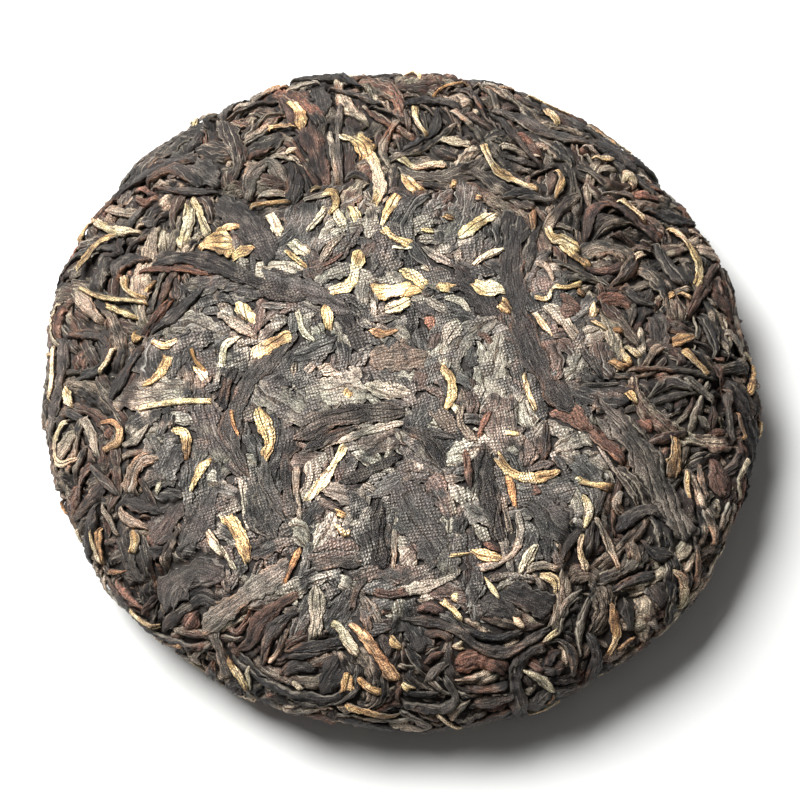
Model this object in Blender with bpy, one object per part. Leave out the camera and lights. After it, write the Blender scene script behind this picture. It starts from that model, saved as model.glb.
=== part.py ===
"""A round cake of black tea, pressed from whole twisted leaves in a cloth bag.

One solid: a core of packed tea with the leaf strands of its skin fused on. The cake lies on its
back. The origin is the middle of the flat underside, +Z is up, and -Y is the side towards the viewer.
Units are metres.
"""

import math
import random

import bmesh
import bpy
import numpy as np
from mathutils import Vector

MM = 0.001

# The pressed envelope that every strand lies under: half of the cake's outline, turned about Z.
CAKE_RADIUS = 55.0 * MM
CAKE_HEIGHT = 19.0 * MM
RIM_HEIGHT = 8.5 * MM  # height of the widest point
BASE_RADIUS = 47.0 * MM  # where the flat underside starts to curve up
CROWN_POWER = 4.5  # flat middle, round shoulder
CROWN_ROUNDNESS = 2.0
KNOT_RADIUS = 16.0 * MM  # hollow that the knot of the bag leaves in the underside
KNOT_DEPTH = 7.0 * MM
KNOT_POWER = 3.0
KNOT_ROUNDNESS = 1.5

# The cake was pressed by hand, so its plan isn't quite round.
OVAL_SHARE = 0.014
SQUARE_SHARE = 0.0033

# The core of packed tea, below the skin of strands.
CORE_DEPTH = 1.1 * MM
CORE_SIDES = 38
CORE_RINGS = 18
CORE_BUMP = 0.35 * MM
CORE_BUMP_WAVES = 6
CORE_BUMP_LENGTH = 11.0 * MM

OUTLINE_STEPS = 200  # points on each curve of the outline
SHARP_ANGLE = 35.0  # degrees, past which an edge is shaded sharp

# The strands: rolled leaves, pressed flat against the cloth.
STRAND_STATIONS = 5
STRAND_SINK = 0.9 * MM  # how far a strand's edges reach below the core's skin
STRAND_DEPTH = (0.05 * MM, 0.5 * MM)  # of its flat top below the envelope
FLAT_SHARE = 0.7  # width of the flat top, as a share of the strand's
TIP_WIDTH = 0.4  # width of a strand's end, as a share of its middle's
BASE_TRIM = 0.25 * MM  # strands under the cake stand out by this, and are cut flat

FACE_STRANDS = 58
FACE_REACH = 69.0 * MM  # along the skin, from the crown's centre to below the rim
FACE_LENGTHS = (18.0 * MM, 31.0 * MM)
FACE_WIDTHS = (5.0 * MM, 7.4 * MM)
WIDTH_SPREAD = 0.5 * MM
FACE_BEND = 0.7  # most that one of them turns along its length, in radians
FREE_REACH = 42.0 * MM  # within this the face's strands point every way
RIM_LEAN = 0.6  # and beyond it they turn from the rim's direction by at most this, in radians
BACK_STRANDS = 27
BACK_REACH = 56.0 * MM  # along the skin, from the knot's centre to the rim
BACK_LENGTHS = (16.0 * MM, 25.0 * MM)
BACK_WIDTHS = (5.6 * MM, 8.0 * MM)
BACK_BEND = 0.6
GOLDEN_RATIO = (1.0 + math.sqrt(5.0)) / 2
GOLDEN_ANGLE = math.pi * (3.0 - math.sqrt(5.0))
SEED = 8

# The longest strands of the face: middle (x, y), heading, length, width and turn, in mm and degrees.
LONG_STRANDS = (
    ("upper_left_bow", (-26.0, 14.5), -4.0, 40.0, 4.2, -22.0),
    ("right_pillar", (18.5, 6.5), -82.0, 38.0, 5.6, 18.0),
    ("shoulder_hook", (38.0, 17.0), -42.0, 24.0, 3.8, -34.0),
    ("top_left_bar", (-12.5, 33.0), -74.0, 26.0, 4.0, 8.0),
    ("top_right_bar", (18.0, 36.0), -42.0, 26.0, 4.6, -12.0),
    ("centre_bar", (0.0, -6.0), 14.0, 30.0, 4.8, -26.0),
    ("left_pillar", (-22.0, -11.0), -78.0, 30.0, 5.2, 24.0),
    ("lower_right_bar", (31.0, -22.0), -56.0, 34.0, 5.4, 6.0),
    ("lower_left_fold", (-19.5, -37.0), 36.0, 22.0, 4.6, 20.0),
    ("bottom_bow", (14.0, -42.0), 0.0, 30.0, 3.6, 60.0),
    ("middle_leaf", (0.5, -19.0), 82.0, 26.0, 7.0, 6.0),
    ("left_leaf", (-34.0, -30.0), 20.0, 18.0, 7.5, -30.0),
)


def clear_scene():
    for item in list(bpy.data.objects):
        bpy.data.objects.remove(item)


def outline():
    """Points (radius, height) from the crown's centre over the rim to the knot's centre.

    The crown is a superellipse, the lower side a quarter ellipse, the underside a straight line and
    the knot's hollow a smooth bowl.
    """
    sweep = np.linspace(0.0, math.pi / 2, OUTLINE_STEPS)
    crown_radius = CAKE_RADIUS * np.sin(sweep)
    share = (crown_radius / CAKE_RADIUS) ** CROWN_POWER
    crown_height = RIM_HEIGHT + (CAKE_HEIGHT - RIM_HEIGHT) * (1.0 - share) ** (1.0 / CROWN_ROUNDNESS)
    side_radius = BASE_RADIUS + (CAKE_RADIUS - BASE_RADIUS) * np.cos(sweep)
    side_height = RIM_HEIGHT * (1.0 - np.sin(sweep))
    knot_radius = KNOT_RADIUS * np.linspace(1.0, 0.0, OUTLINE_STEPS)
    knot_height = KNOT_DEPTH * (1.0 - (knot_radius / KNOT_RADIUS) ** KNOT_POWER) ** KNOT_ROUNDNESS
    radius = np.concatenate([crown_radius, side_radius[1:], knot_radius])
    height = np.concatenate([crown_height, side_height[1:], knot_height])
    return radius, height


class Skin:
    """The envelope, by distance along the outline from the crown's centre and angle about Z."""

    def __init__(self):
        self.radius, self.height = outline()
        step_r = np.diff(self.radius)
        step_z = np.diff(self.height)
        step = np.hypot(step_r, step_z)
        self.along = np.concatenate([[0.0], np.cumsum(step)])
        self.middle = self.along[:-1] + step / 2
        self.out_r = -step_z / step
        self.out_z = step_r / step
        self.length = self.along[-1]

    def point(self, along, angle, depth):
        """The point that lies depth below the envelope."""
        out_r = np.interp(along, self.middle, self.out_r)
        out_z = np.interp(along, self.middle, self.out_z)
        radius = np.interp(along, self.along, self.radius) - depth * out_r
        height = np.interp(along, self.along, self.height) - depth * out_z
        oval = 1.0 - OVAL_SHARE * math.sin(2 * angle) - SQUARE_SHARE * math.cos(4 * angle)
        return Vector((radius * oval * math.cos(angle), radius * oval * math.sin(angle), height))

    def from_face(self, x, y, depth):
        """The same for a place on a flat map of the face, whose middle is the crown's centre."""
        return self.point(math.hypot(x, y), math.atan2(y, x), depth)

    def from_back(self, x, y, depth):
        """And on a map of the underside, mirrored so that a shape on it keeps its handedness."""
        return self.point(self.length - math.hypot(x, y), math.atan2(-y, x), depth)


def core_bumps(rng):
    """A smooth uneven field, the sum of a few waves that run in seeded directions."""
    waves = []
    for _ in range(CORE_BUMP_WAVES):
        direction = Vector([rng.gauss(0.0, 1.0) for _ in range(3)]).normalized()
        waves.append((direction * math.tau / CORE_BUMP_LENGTH, rng.uniform(0.0, math.tau)))

    def bump(place):
        total = sum(math.sin(wave.dot(place) + phase) for wave, phase in waves)
        return CORE_BUMP * total / math.sqrt(CORE_BUMP_WAVES)

    return bump


def make_object(name, shape):
    mesh = bpy.data.meshes.new(name)
    shape.to_mesh(mesh)
    shape.free()
    item = bpy.data.objects.new(name, mesh)
    bpy.context.scene.collection.objects.link(item)
    return item


def make_core(name, skin, rng):
    """The packed tea inside: the outline turned about Z, a little below the envelope and bumpy."""
    bump = core_bumps(rng)
    shape = bmesh.new()
    crown = shape.verts.new(skin.point(0.0, 0.0, CORE_DEPTH))
    knot = shape.verts.new(skin.point(skin.length, 0.0, CORE_DEPTH))
    rings = []
    for ring in range(1, CORE_RINGS):
        along = skin.length * ring / CORE_RINGS
        turn = [math.tau * side / CORE_SIDES for side in range(CORE_SIDES)]
        depths = [CORE_DEPTH + bump(skin.point(along, angle, CORE_DEPTH)) for angle in turn]
        places = [skin.point(along, angle, depth) for angle, depth in zip(turn, depths)]
        rings.append([shape.verts.new(place) for place in places])
    for side in range(CORE_SIDES):
        after = (side + 1) % CORE_SIDES
        shape.faces.new((crown, rings[0][side], rings[0][after]))
        for upper, lower in zip(rings, rings[1:]):
            shape.faces.new((upper[side], lower[side], lower[after], upper[after]))
        shape.faces.new((rings[-1][side], knot, rings[-1][after]))
    bmesh.ops.recalc_face_normals(shape, faces=shape.faces)
    return make_object(name, shape)


def route(middle, heading, length, turn):
    """Stations (x, y, direction) of an arc on the map, with its middle and its heading there."""
    stations = []
    for station in range(STRAND_STATIONS):
        share = station / (STRAND_STATIONS - 1) - 0.5
        bend = turn * share
        chord = length * share
        direction = heading + bend
        lean = heading + bend / 2
        stations.append((middle[0] + chord * math.cos(lean), middle[1] + chord * math.sin(lean), direction))
    return stations


def make_strand(name, place_on_map, stations, width, depth):
    """One leaf strand: a four-sided section with a flat top, carried along its stations.

    The width swells from a narrow tip to the middle and back, as half a sine wave.
    """
    shape = bmesh.new()
    loops = []
    for station, (x, y, direction) in enumerate(stations):
        share = station / (len(stations) - 1)
        half = 0.5 * width * (TIP_WIDTH + (1.0 - TIP_WIDTH) * math.sin(math.pi * share) ** 0.5)
        section = (
            (half, CORE_DEPTH + STRAND_SINK),
            (half * FLAT_SHARE, depth),
            (-half * FLAT_SHARE, depth),
            (-half, CORE_DEPTH + STRAND_SINK),
        )
        side = (math.sin(direction), -math.cos(direction))
        places = [place_on_map(x + side[0] * off, y + side[1] * off, low) for off, low in section]
        loops.append([shape.verts.new(place) for place in places])
    for first, second in zip(loops, loops[1:]):
        for corner in range(len(first)):
            after = (corner + 1) % len(first)
            shape.faces.new((first[corner], second[corner], second[after], first[after]))
    shape.faces.new(loops[0])
    shape.faces.new(loops[-1][::-1])
    bmesh.ops.triangulate(shape, faces=shape.faces)
    bmesh.ops.recalc_face_normals(shape, faces=shape.faces)
    return make_object(name, shape)


def between(ends, share):
    """The value at a share of the way from one end to the other."""
    return ends[0] + (ends[1] - ends[0]) * share


def sunflower(count, reach):
    """Places spread evenly over a round map, as polar pairs, and a size for each from 0 to 1."""
    for place in range(count):
        distance = reach * math.sqrt((place + 0.5) / count)
        yield distance, place * GOLDEN_ANGLE, (place * GOLDEN_RATIO) % 1.0


def face_strands(skin, rng):
    """Strands spread over the crown and side. Near the rim they lean along it, as the bag turned them."""
    strands = []
    for distance, angle, size in sunflower(FACE_STRANDS, FACE_REACH):
        middle = (distance * math.cos(angle), distance * math.sin(angle))
        freedom = math.pi / 2 if distance < FREE_REACH else RIM_LEAN
        heading = angle + math.pi / 2 + rng.uniform(-freedom, freedom)
        width = between(FACE_WIDTHS, size) + rng.uniform(-WIDTH_SPREAD, WIDTH_SPREAD)
        bend = rng.uniform(-FACE_BEND, FACE_BEND)
        stations = route(middle, heading, between(FACE_LENGTHS, size), bend)
        depth = rng.uniform(*STRAND_DEPTH)
        name = f"face_strand_{len(strands)}"
        strands.append(make_strand(name, skin.from_face, stations, width, depth))
    return strands


def long_strands(skin, rng):
    """The strands that catch the eye on the face, where they lie on the real cake."""
    strands = []
    for name, middle, heading, length, width, turn in LONG_STRANDS:
        centre = (middle[0] * MM, middle[1] * MM)
        stations = route(centre, math.radians(heading), length * MM, math.radians(turn))
        depth = rng.uniform(0.0, STRAND_DEPTH[0])
        strands.append(make_strand(name, skin.from_face, stations, width * MM, depth))
    return strands


def back_strands(skin, rng):
    """Strands of the underside, which stand out a little below the flat so that it can trim them."""
    strands = []
    for distance, angle, size in sunflower(BACK_STRANDS, BACK_REACH):
        middle = (distance * math.cos(angle), distance * math.sin(angle))
        heading = rng.uniform(0.0, math.pi)
        bend = rng.uniform(-BACK_BEND, BACK_BEND)
        stations = route(middle, heading, between(BACK_LENGTHS, size), bend)
        width = between(BACK_WIDTHS, size)
        name = f"back_strand_{len(strands)}"
        strands.append(make_strand(name, skin.from_back, stations, width, -BASE_TRIM))
    return strands


def fuse(core, strands):
    """One Boolean union of the core with the collection of its strands, applied."""
    collection = bpy.data.collections.new("leaf_strands")
    bpy.context.scene.collection.children.link(collection)
    for strand in strands:
        bpy.context.scene.collection.objects.unlink(strand)
        collection.objects.link(strand)
    union = core.modifiers.new("fuse_strands", "BOOLEAN")
    union.operation = "UNION"
    union.operand_type = "COLLECTION"
    union.collection = collection
    union.solver = "EXACT"
    union.use_self = True
    seen = core.evaluated_get(bpy.context.evaluated_depsgraph_get())
    fused = bpy.data.meshes.new_from_object(seen)
    core.modifiers.clear()
    core.data = fused
    for strand in strands:
        bpy.data.objects.remove(strand)
    bpy.data.collections.remove(collection)


def trim_underside(shape):
    """Cuts the strands under the cake along the plane that it rests on, and closes the cuts."""
    geometry = shape.verts[:] + shape.edges[:] + shape.faces[:]
    cut = bmesh.ops.bisect_plane(
        shape, geom=geometry, plane_co=(0, 0, 0), plane_no=(0, 0, -1), clear_outer=True
    )
    rims = [item for item in cut["geom_cut"] if isinstance(item, bmesh.types.BMEdge)]
    bmesh.ops.holes_fill(shape, edges=rims, sides=0)


def keep_outer_surface(shape):
    """Drops every closed surface but the largest: sealed hollows and loose scraps."""
    shape.faces.ensure_lookup_table()
    unseen = set(shape.faces)
    pieces = []
    while unseen:
        reached = [unseen.pop()]
        for face in reached:
            for edge in face.edges:
                for other in edge.link_faces:
                    if other in unseen:
                        unseen.remove(other)
                        reached.append(other)
        pieces.append(reached)
    pieces.sort(key=len)
    scraps = [face for piece in pieces[:-1] for face in piece]
    bmesh.ops.delete(shape, geom=scraps, context="FACES")


def finish_mesh(item):
    shape = bmesh.new()
    shape.from_mesh(item.data)
    bmesh.ops.triangulate(shape, faces=shape.faces)
    trim_underside(shape)
    keep_outer_surface(shape)
    bmesh.ops.triangulate(shape, faces=shape.faces)
    shape.to_mesh(item.data)
    shape.free()
    item.data.shade_smooth()
    item.data.set_sharp_from_angle(angle=math.radians(SHARP_ANGLE))


def tea_material():
    """Dry black tea: dark brown, dull, with a faint sheen where the leaf was pressed."""
    material = bpy.data.materials.new("pressed_black_tea")
    material.use_nodes = True
    surface = material.node_tree.nodes["Principled BSDF"]
    surface.inputs["Base Color"].default_value = (0.065, 0.05, 0.042, 1.0)
    surface.inputs["Roughness"].default_value = 0.62
    surface.inputs["Metallic"].default_value = 0.0
    return material


def main():
    clear_scene()
    rng = random.Random(SEED)
    skin = Skin()
    cake = make_core("tea_cake", skin, rng)
    strands = long_strands(skin, rng) + face_strands(skin, rng) + back_strands(skin, rng)
    fuse(cake, strands)
    finish_mesh(cake)
    cake.data.materials.clear()
    cake.data.materials.append(tea_material())


main()
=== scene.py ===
"""The looks of a round cake of pressed black tea, laid leaf by leaf as it lies in its cloth bag.

Lengths are in metres unless a name says otherwise. The cake lies on its back, with its crown up.
"""

import math
from dataclasses import dataclass, replace

import bpy
import numpy as np
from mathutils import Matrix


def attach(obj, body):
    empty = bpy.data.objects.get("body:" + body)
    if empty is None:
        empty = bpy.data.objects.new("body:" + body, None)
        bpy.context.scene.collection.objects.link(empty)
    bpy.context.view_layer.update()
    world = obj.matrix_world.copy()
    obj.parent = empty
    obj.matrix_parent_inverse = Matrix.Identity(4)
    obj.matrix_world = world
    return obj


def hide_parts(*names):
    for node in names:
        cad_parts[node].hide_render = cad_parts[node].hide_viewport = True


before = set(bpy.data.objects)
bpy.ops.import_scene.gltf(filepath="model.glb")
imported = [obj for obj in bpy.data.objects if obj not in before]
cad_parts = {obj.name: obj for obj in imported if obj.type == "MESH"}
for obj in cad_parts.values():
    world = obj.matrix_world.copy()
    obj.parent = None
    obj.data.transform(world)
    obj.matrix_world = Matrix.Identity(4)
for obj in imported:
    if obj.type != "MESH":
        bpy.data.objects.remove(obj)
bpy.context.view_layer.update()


# The view. The camera looks down on the crown from 350 mm away, so a place in the photograph, in
# its 800 x 800 pixels, is also a ray that meets the cake.
MM = 0.001
PHOTO_SIDE = 800
FOCAL_PIXELS = 2284
MIDDLE_PIXEL = (398.9, 377.9)  # where the cake's middle shows
CAKE_MIDDLE = np.array([0.0, 0.0, 9.5 * MM])
CAMERA_DISTANCE = 350.0 * MM
CAMERA_ELEVATION = math.radians(65.4)
SENSOR_MM = 36.0

AHEAD = np.array([0.0, math.cos(CAMERA_ELEVATION), -math.sin(CAMERA_ELEVATION)])
VIEW_UP = np.array([0.0, math.sin(CAMERA_ELEVATION), math.cos(CAMERA_ELEVATION)])
EYE = CAKE_MIDDLE - CAMERA_DISTANCE * AHEAD

camera_data = bpy.data.cameras.new("photo_view")
camera_data.sensor_width = SENSOR_MM
camera_data.lens = SENSOR_MM * FOCAL_PIXELS / PHOTO_SIDE
camera_data.shift_x = (PHOTO_SIDE / 2 - MIDDLE_PIXEL[0]) / PHOTO_SIDE
camera_data.shift_y = (MIDDLE_PIXEL[1] - PHOTO_SIDE / 2) / PHOTO_SIDE
camera = bpy.data.objects.new("photo_view", camera_data)
camera.location = EYE
camera.rotation_euler = (math.pi / 2 - CAMERA_ELEVATION, 0.0, 0.0)
bpy.context.scene.collection.objects.link(camera)
bpy.context.scene.camera = camera


# The cotton bag. It isn't shown, but it is the mould: the leaves were steamed soft in it, turned
# against its knot and pressed, so every leaf of the skin lies against its inside.
CAKE_RADIUS = 55.0 * MM
CAKE_HEIGHT = 19.0 * MM
RIM_HEIGHT = 8.5 * MM  # height of the widest point
BASE_RADIUS = 47.0 * MM  # where the flat underside starts to curve up
CROWN_POWER = 4.5
CROWN_ROUNDNESS = 2.0
KNOT_RADIUS = 16.0 * MM
KNOT_DEPTH = 7.0 * MM
KNOT_POWER = 3.0
KNOT_ROUNDNESS = 1.5
OVAL_SHARE = 0.014
SQUARE_SHARE = 0.0033
OUTLINE_STEPS = 600
PRESS_MIDDLE = (-3.0 * MM, -8.0 * MM)  # the press bore down hardest a little before the middle
PRESS_REACH = (24.0 * MM, 46.0 * MM)  # flush inside the first, loose outside the second
BACK_EDGE = 47.0 * MM  # the back's reach from the knot's centre
BACK_LOOSENESS = 0.35
FLUSH_WAVE_MM = 0.07  # height of the bag's own waves on the pressed face
LOOSE_WAVE_MM = 0.15  # and what is added to it where the leaves lie loose
BACK_WAVE_MM = 0.05
BULGE_MM = 0.55  # how far out the loose bag bulges
INSET_MM = 0.14  # how far inside the bag the skin lies elsewhere
TABLE_FADE_MM = 5.0  # the height over which the waves fade in above the table
BAG_WAVES = (  # height, turn of the phase for each millimetre of x, y and z, and phase at the origin
    (1.0, 0.21, 0.13, 0.0, 1.0),
    (1.0, -0.19, 0.17, 0.4, 0.0),
    (0.6, 0.41, -0.33, 0.5, 2.0),
    (0.6, 0.29, 0.37, -0.3, 0.0),
)
RAY_REACH = 70.0 * MM
RAY_STEP = 0.05 * MM


def crown_height(radius):
    """Height of the crown over a radius: a superellipse, flat in the middle with a round shoulder."""
    share = np.clip(radius / CAKE_RADIUS, 0.0, 1.0) ** CROWN_POWER
    return RIM_HEIGHT + (CAKE_HEIGHT - RIM_HEIGHT) * (1.0 - share) ** (1.0 / CROWN_ROUNDNESS)


def bag_outline():
    """Radius and height of the bag from the crown's centre over the rim to the knot's centre.

    After the crown come a quarter ellipse, the straight underside and the knot's smooth bowl.
    """
    sweep = np.linspace(0.0, math.pi / 2, OUTLINE_STEPS)
    crown_radius = CAKE_RADIUS * np.sin(sweep)
    side_radius = BASE_RADIUS + (CAKE_RADIUS - BASE_RADIUS) * np.cos(sweep)
    side_height = RIM_HEIGHT * (1.0 - np.sin(sweep))
    knot_radius = KNOT_RADIUS * np.linspace(1.0, 0.0, OUTLINE_STEPS)
    knot_height = KNOT_DEPTH * (1.0 - (knot_radius / KNOT_RADIUS) ** KNOT_POWER) ** KNOT_ROUNDNESS
    radius = np.concatenate([crown_radius, side_radius[1:], knot_radius])
    height = np.concatenate([crown_height(crown_radius), side_height[1:], knot_height])
    return radius, height


BAG_RADIUS, BAG_HEIGHT = bag_outline()
STEP_RADIUS = np.diff(BAG_RADIUS)
STEP_HEIGHT = np.diff(BAG_HEIGHT)
STEP_LENGTH = np.hypot(STEP_RADIUS, STEP_HEIGHT)
BAG_ALONG = np.concatenate([[0.0], np.cumsum(STEP_LENGTH)])
BAG_LENGTH = BAG_ALONG[-1]


def plan_oval(turn):
    """How far the plan lies from a true circle: a slight oval and a slight square."""
    return 1.0 - OVAL_SHARE * np.sin(2 * turn) - SQUARE_SHARE * np.cos(4 * turn)


def bag_point(along, turn, depth):
    """The point a depth inside the bag, at a distance along its outline and an angle about Z."""
    middle = BAG_ALONG[:-1] + STEP_LENGTH / 2
    out_r = np.interp(along, middle, -STEP_HEIGHT / STEP_LENGTH)
    out_z = np.interp(along, middle, STEP_RADIUS / STEP_LENGTH)
    radius = (np.interp(along, BAG_ALONG, BAG_RADIUS) - depth * out_r) * plan_oval(turn)
    height = np.interp(along, BAG_ALONG, BAG_HEIGHT) - depth * out_z
    return np.stack([radius * np.cos(turn), radius * np.sin(turn), height], axis=-1)


def smooth(x):
    """Rises from 0 to 1 with level ends."""
    x = np.clip(x, 0.0, 1.0)
    return x * x * (3.0 - 2.0 * x)


def looseness(along, turn):
    """From 0 where the press left the leaves flush to 1 where they lie loose at the rim.

    It grows with the distance from the middle of the press, and is even on the back.
    """
    point = bag_point(along, turn, 0.0)
    off = np.hypot(point[..., 0] - PRESS_MIDDLE[0], point[..., 1] - PRESS_MIDDLE[1])
    loose = smooth((off - PRESS_REACH[0]) / (PRESS_REACH[1] - PRESS_REACH[0]))
    return np.where(along < BAG_LENGTH - BACK_EDGE, loose, BACK_LOOSENESS)


def unevenness(along, turn):
    """The bag's own waves, a few sines over the place: slight on the crown, deeper at the rim.

    They fade towards the table and never reach below it. Where the leaves lie loose the bag
    bulges, so that their ends and gaps leave the outline at its full width.
    """
    point = bag_point(along, turn, 0.0) / MM
    x, y, z = point[..., 0], point[..., 1], point[..., 2]
    wave = sum(high * np.sin(by_x * x + by_y * y + by_z * z + phase)
               for high, by_x, by_y, by_z, phase in BAG_WAVES)
    on_face = along < BAG_LENGTH - BACK_EDGE
    height = np.where(on_face, FLUSH_WAVE_MM + LOOSE_WAVE_MM * looseness(along, turn), BACK_WAVE_MM)
    free = smooth(z / TABLE_FADE_MM) * on_face
    bulge = BULGE_MM * free * looseness(along, turn)
    return (height * (0.3 + 0.7 * free) * wave + INSET_MM - bulge) * MM


def seen_places(pixels):
    """Where the rays through pixels of the photograph first meet the bag, as (along, turn).

    Each ray is sampled finely. The first sample inside the bag counts, or the one that comes
    nearest where the ray passes it by, and it is moved to the nearest point of the outline.
    """
    offset = (np.asarray(pixels, float) - MIDDLE_PIXEL) / FOCAL_PIXELS
    ray = AHEAD - offset[:, 1:] * VIEW_UP
    ray[:, 0] += offset[:, 0]
    ray /= np.linalg.norm(ray, axis=1, keepdims=True)
    steps = CAMERA_DISTANCE + np.arange(-RAY_REACH, RAY_REACH, RAY_STEP)
    points = EYE + ray[:, None] * steps[None, :, None]
    turn = np.arctan2(points[..., 1], points[..., 0])
    radius = np.hypot(points[..., 0], points[..., 1]) / plan_oval(turn)
    above = np.clip((points[..., 2] - RIM_HEIGHT) / (CAKE_HEIGHT - RIM_HEIGHT), 0.0, 1.0)
    below = np.clip(1.0 - points[..., 2] / RIM_HEIGHT, 0.0, 1.0)
    crown = CAKE_RADIUS * (1.0 - above**CROWN_ROUNDNESS) ** (1.0 / CROWN_POWER)
    side = BASE_RADIUS + (CAKE_RADIUS - BASE_RADIUS) * np.sqrt(1.0 - below**2)
    gap = radius - np.where(points[..., 2] > RIM_HEIGHT, crown, side)
    gap += np.clip(points[..., 2] - CAKE_HEIGHT, 0.0, None) + np.clip(-points[..., 2], 0.0, None)
    inside = gap <= 0.0
    first = np.where(inside.any(axis=1), inside.argmax(axis=1), gap.argmin(axis=1))
    rows = np.arange(len(first))
    off_radius = BAG_RADIUS[None] - radius[rows, first][:, None]
    off_height = BAG_HEIGHT[None] - points[rows, first, 2][:, None]
    nearest = np.hypot(off_radius, off_height).argmin(axis=1)
    return BAG_ALONG[nearest], turn[rows, first]


# Two flat maps of the bag, one round the crown and one round the knot, to lay the leaves out on.
# They keep how deep the pack already is, because a bag is filled from its cloth inwards.
CELL = 0.5 * MM
FACE_REACH = 78.0 * MM
BACK_REACH = 62.0 * MM
CROWN_EDGE = 53.0 * MM  # how far the crown's leaves reach from its centre, along the bag,
SIDE_EDGE = 75.0 * MM  # and the side's
FLUSH_LIMIT = 0.5  # of looseness
NEAREST = 0.001 * MM  # stands in for a distance of nothing from the pole
MOST_STRETCH = 4.0


class Chart:
    """A map of the bag round one pole, true in distance and direction from the pole.

    under is how deep the leaves laid so far reach, and covered is where one of them lies, both in
    square cells. Across the radius the map is stretched by distance / radius. A strand's mesh has
    one ring of points for so many of its stations.
    """

    def __init__(self, reach, from_knot, stations_per_ring):
        self.reach = reach
        self.from_knot = from_knot
        self.stations_per_ring = stations_per_ring
        self.side = int(2 * reach / CELL) + 1
        middle = (np.arange(self.side) + 0.5) * CELL - reach
        self.cell_u, self.cell_v = np.meshgrid(middle, middle, indexing="ij")
        self.distance = np.hypot(self.cell_u, self.cell_v)
        self.loose = looseness(*self.polar(self.cell_u, self.cell_v))
        self.under = np.zeros((self.side, self.side))
        self.covered = np.zeros((self.side, self.side), bool)

    def polar(self, u, v):
        """(along, turn) on the bag. The knot's map is mirrored, so that it is seen from outside."""
        distance = np.hypot(u, v)
        if self.from_knot:
            return BAG_LENGTH - distance, np.arctan2(-v, u)
        return distance, np.arctan2(v, u)

    def spot(self, along, turn):
        """(u, v) of places on the bag, the inverse of polar."""
        if self.from_knot:
            return (BAG_LENGTH - along) * np.cos(turn), -(BAG_LENGTH - along) * np.sin(turn)
        return along * np.cos(turn), along * np.sin(turn)

    def cells(self, u, v):
        """Indices of the cells that hold places of the map."""
        row = np.clip(((u + self.reach) / CELL).astype(int), 0, self.side - 1)
        column = np.clip(((v + self.reach) / CELL).astype(int), 0, self.side - 1)
        return row, column

    def true_step(self, step, spot, shrink):
        """Turns steps on the map into steps on the bag, or back, by the stretch across the radius."""
        distance = np.maximum(np.hypot(spot[..., 0], spot[..., 1]), NEAREST)
        radius = np.interp(self.polar(spot[..., 0], spot[..., 1])[0], BAG_ALONG, BAG_RADIUS)
        stretch = np.clip(distance / np.maximum(radius, NEAREST), 1.0, MOST_STRETCH)[..., None]
        away = spot / distance[..., None]
        radial = (step * away).sum(axis=-1, keepdims=True) * away
        return radial + (step - radial) * (1.0 / stretch if shrink else stretch)

    def stamp(self, u, v, under):
        """Marks what a laid leaf covers, and how deep it reaches, on both maps."""
        along, turn = self.polar(u, v)
        for each in (face_map, back_map):
            there_u, there_v = each.spot(along, turn)
            inside = np.hypot(there_u, there_v) < each.reach
            cells = each.cells(there_u[inside], there_v[inside])
            np.maximum.at(each.under, cells, under[inside])
            each.covered[cells] = True


face_map = Chart(FACE_REACH, False, 1)
back_map = Chart(BACK_REACH, True, 2)
on_crown = face_map.distance < CROWN_EDGE
on_side = (face_map.distance >= CROWN_EDGE) & (face_map.distance < SIDE_EDGE)
on_back = back_map.distance < BACK_EDGE
pressed_flush = on_crown & (face_map.loose < FLUSH_LIMIT)
left_loose = on_crown & (face_map.loose >= FLUSH_LIMIT)


# Dry stems: thin straw-pale leaf stalks, picked with the leaf. They didn't roll or oxidise, so they
# are the stiffest and palest strands. This section also says how any strand is laid.
STATION = 0.35 * MM  # between the places along a strand where its depth is worked out
COLUMN = 0.31 * MM  # between two columns across a strand
COLUMN_COUNTS = (5, 24)  # the fewest and the most columns
rng = np.random.default_rng(11)

WAIST_WAVES = (11.0 * MM, 6.0 * MM)  # the lengths of the waves in a strand's width,
EDGE_WAVES = (5.3 * MM, 2.3 * MM, 1.3 * MM)  # its edges,
FOLD_WAVES = (13.0 * MM, 8.0 * MM, 5.0 * MM)  # the run of its layers, coarse
FINE_FOLD_WAVES = (2.9 * MM, 1.9 * MM)  # and fine,
CRUMPLE_WAVES = (6.1 * MM, 3.3 * MM, 1.9 * MM)  # and its crumpled surface, one way,
COUNTER_WAVES = (4.7 * MM, 2.3 * MM)  # the other way
FINE_WAVES = (1.1 * MM, 0.8 * MM)  # and fine
LAP_POWER = 2.2  # how late a layer falls away to the next
ANY_WAY = 9.0  # radians, a spread so wide that every direction is as likely
HEADINGS = 7  # that a strand tries
MOST_MISSES = 300  # after so many strands that don't fit, a region is as full as it gets
HALVING_MISSES = 60.0  # after so many of them, the next is half as long
LEAST_LENGTH = 1.6 * MM
LEAST_WIDTH = 0.8 * MM
BEND_LENGTH = 12.0 * MM  # a strand as long as this
BEND_SPREAD = 0.85  # bends by so many radians, give or take,
MOST_BEND = 1.6  # and a longer one by no more than so many times that


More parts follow.
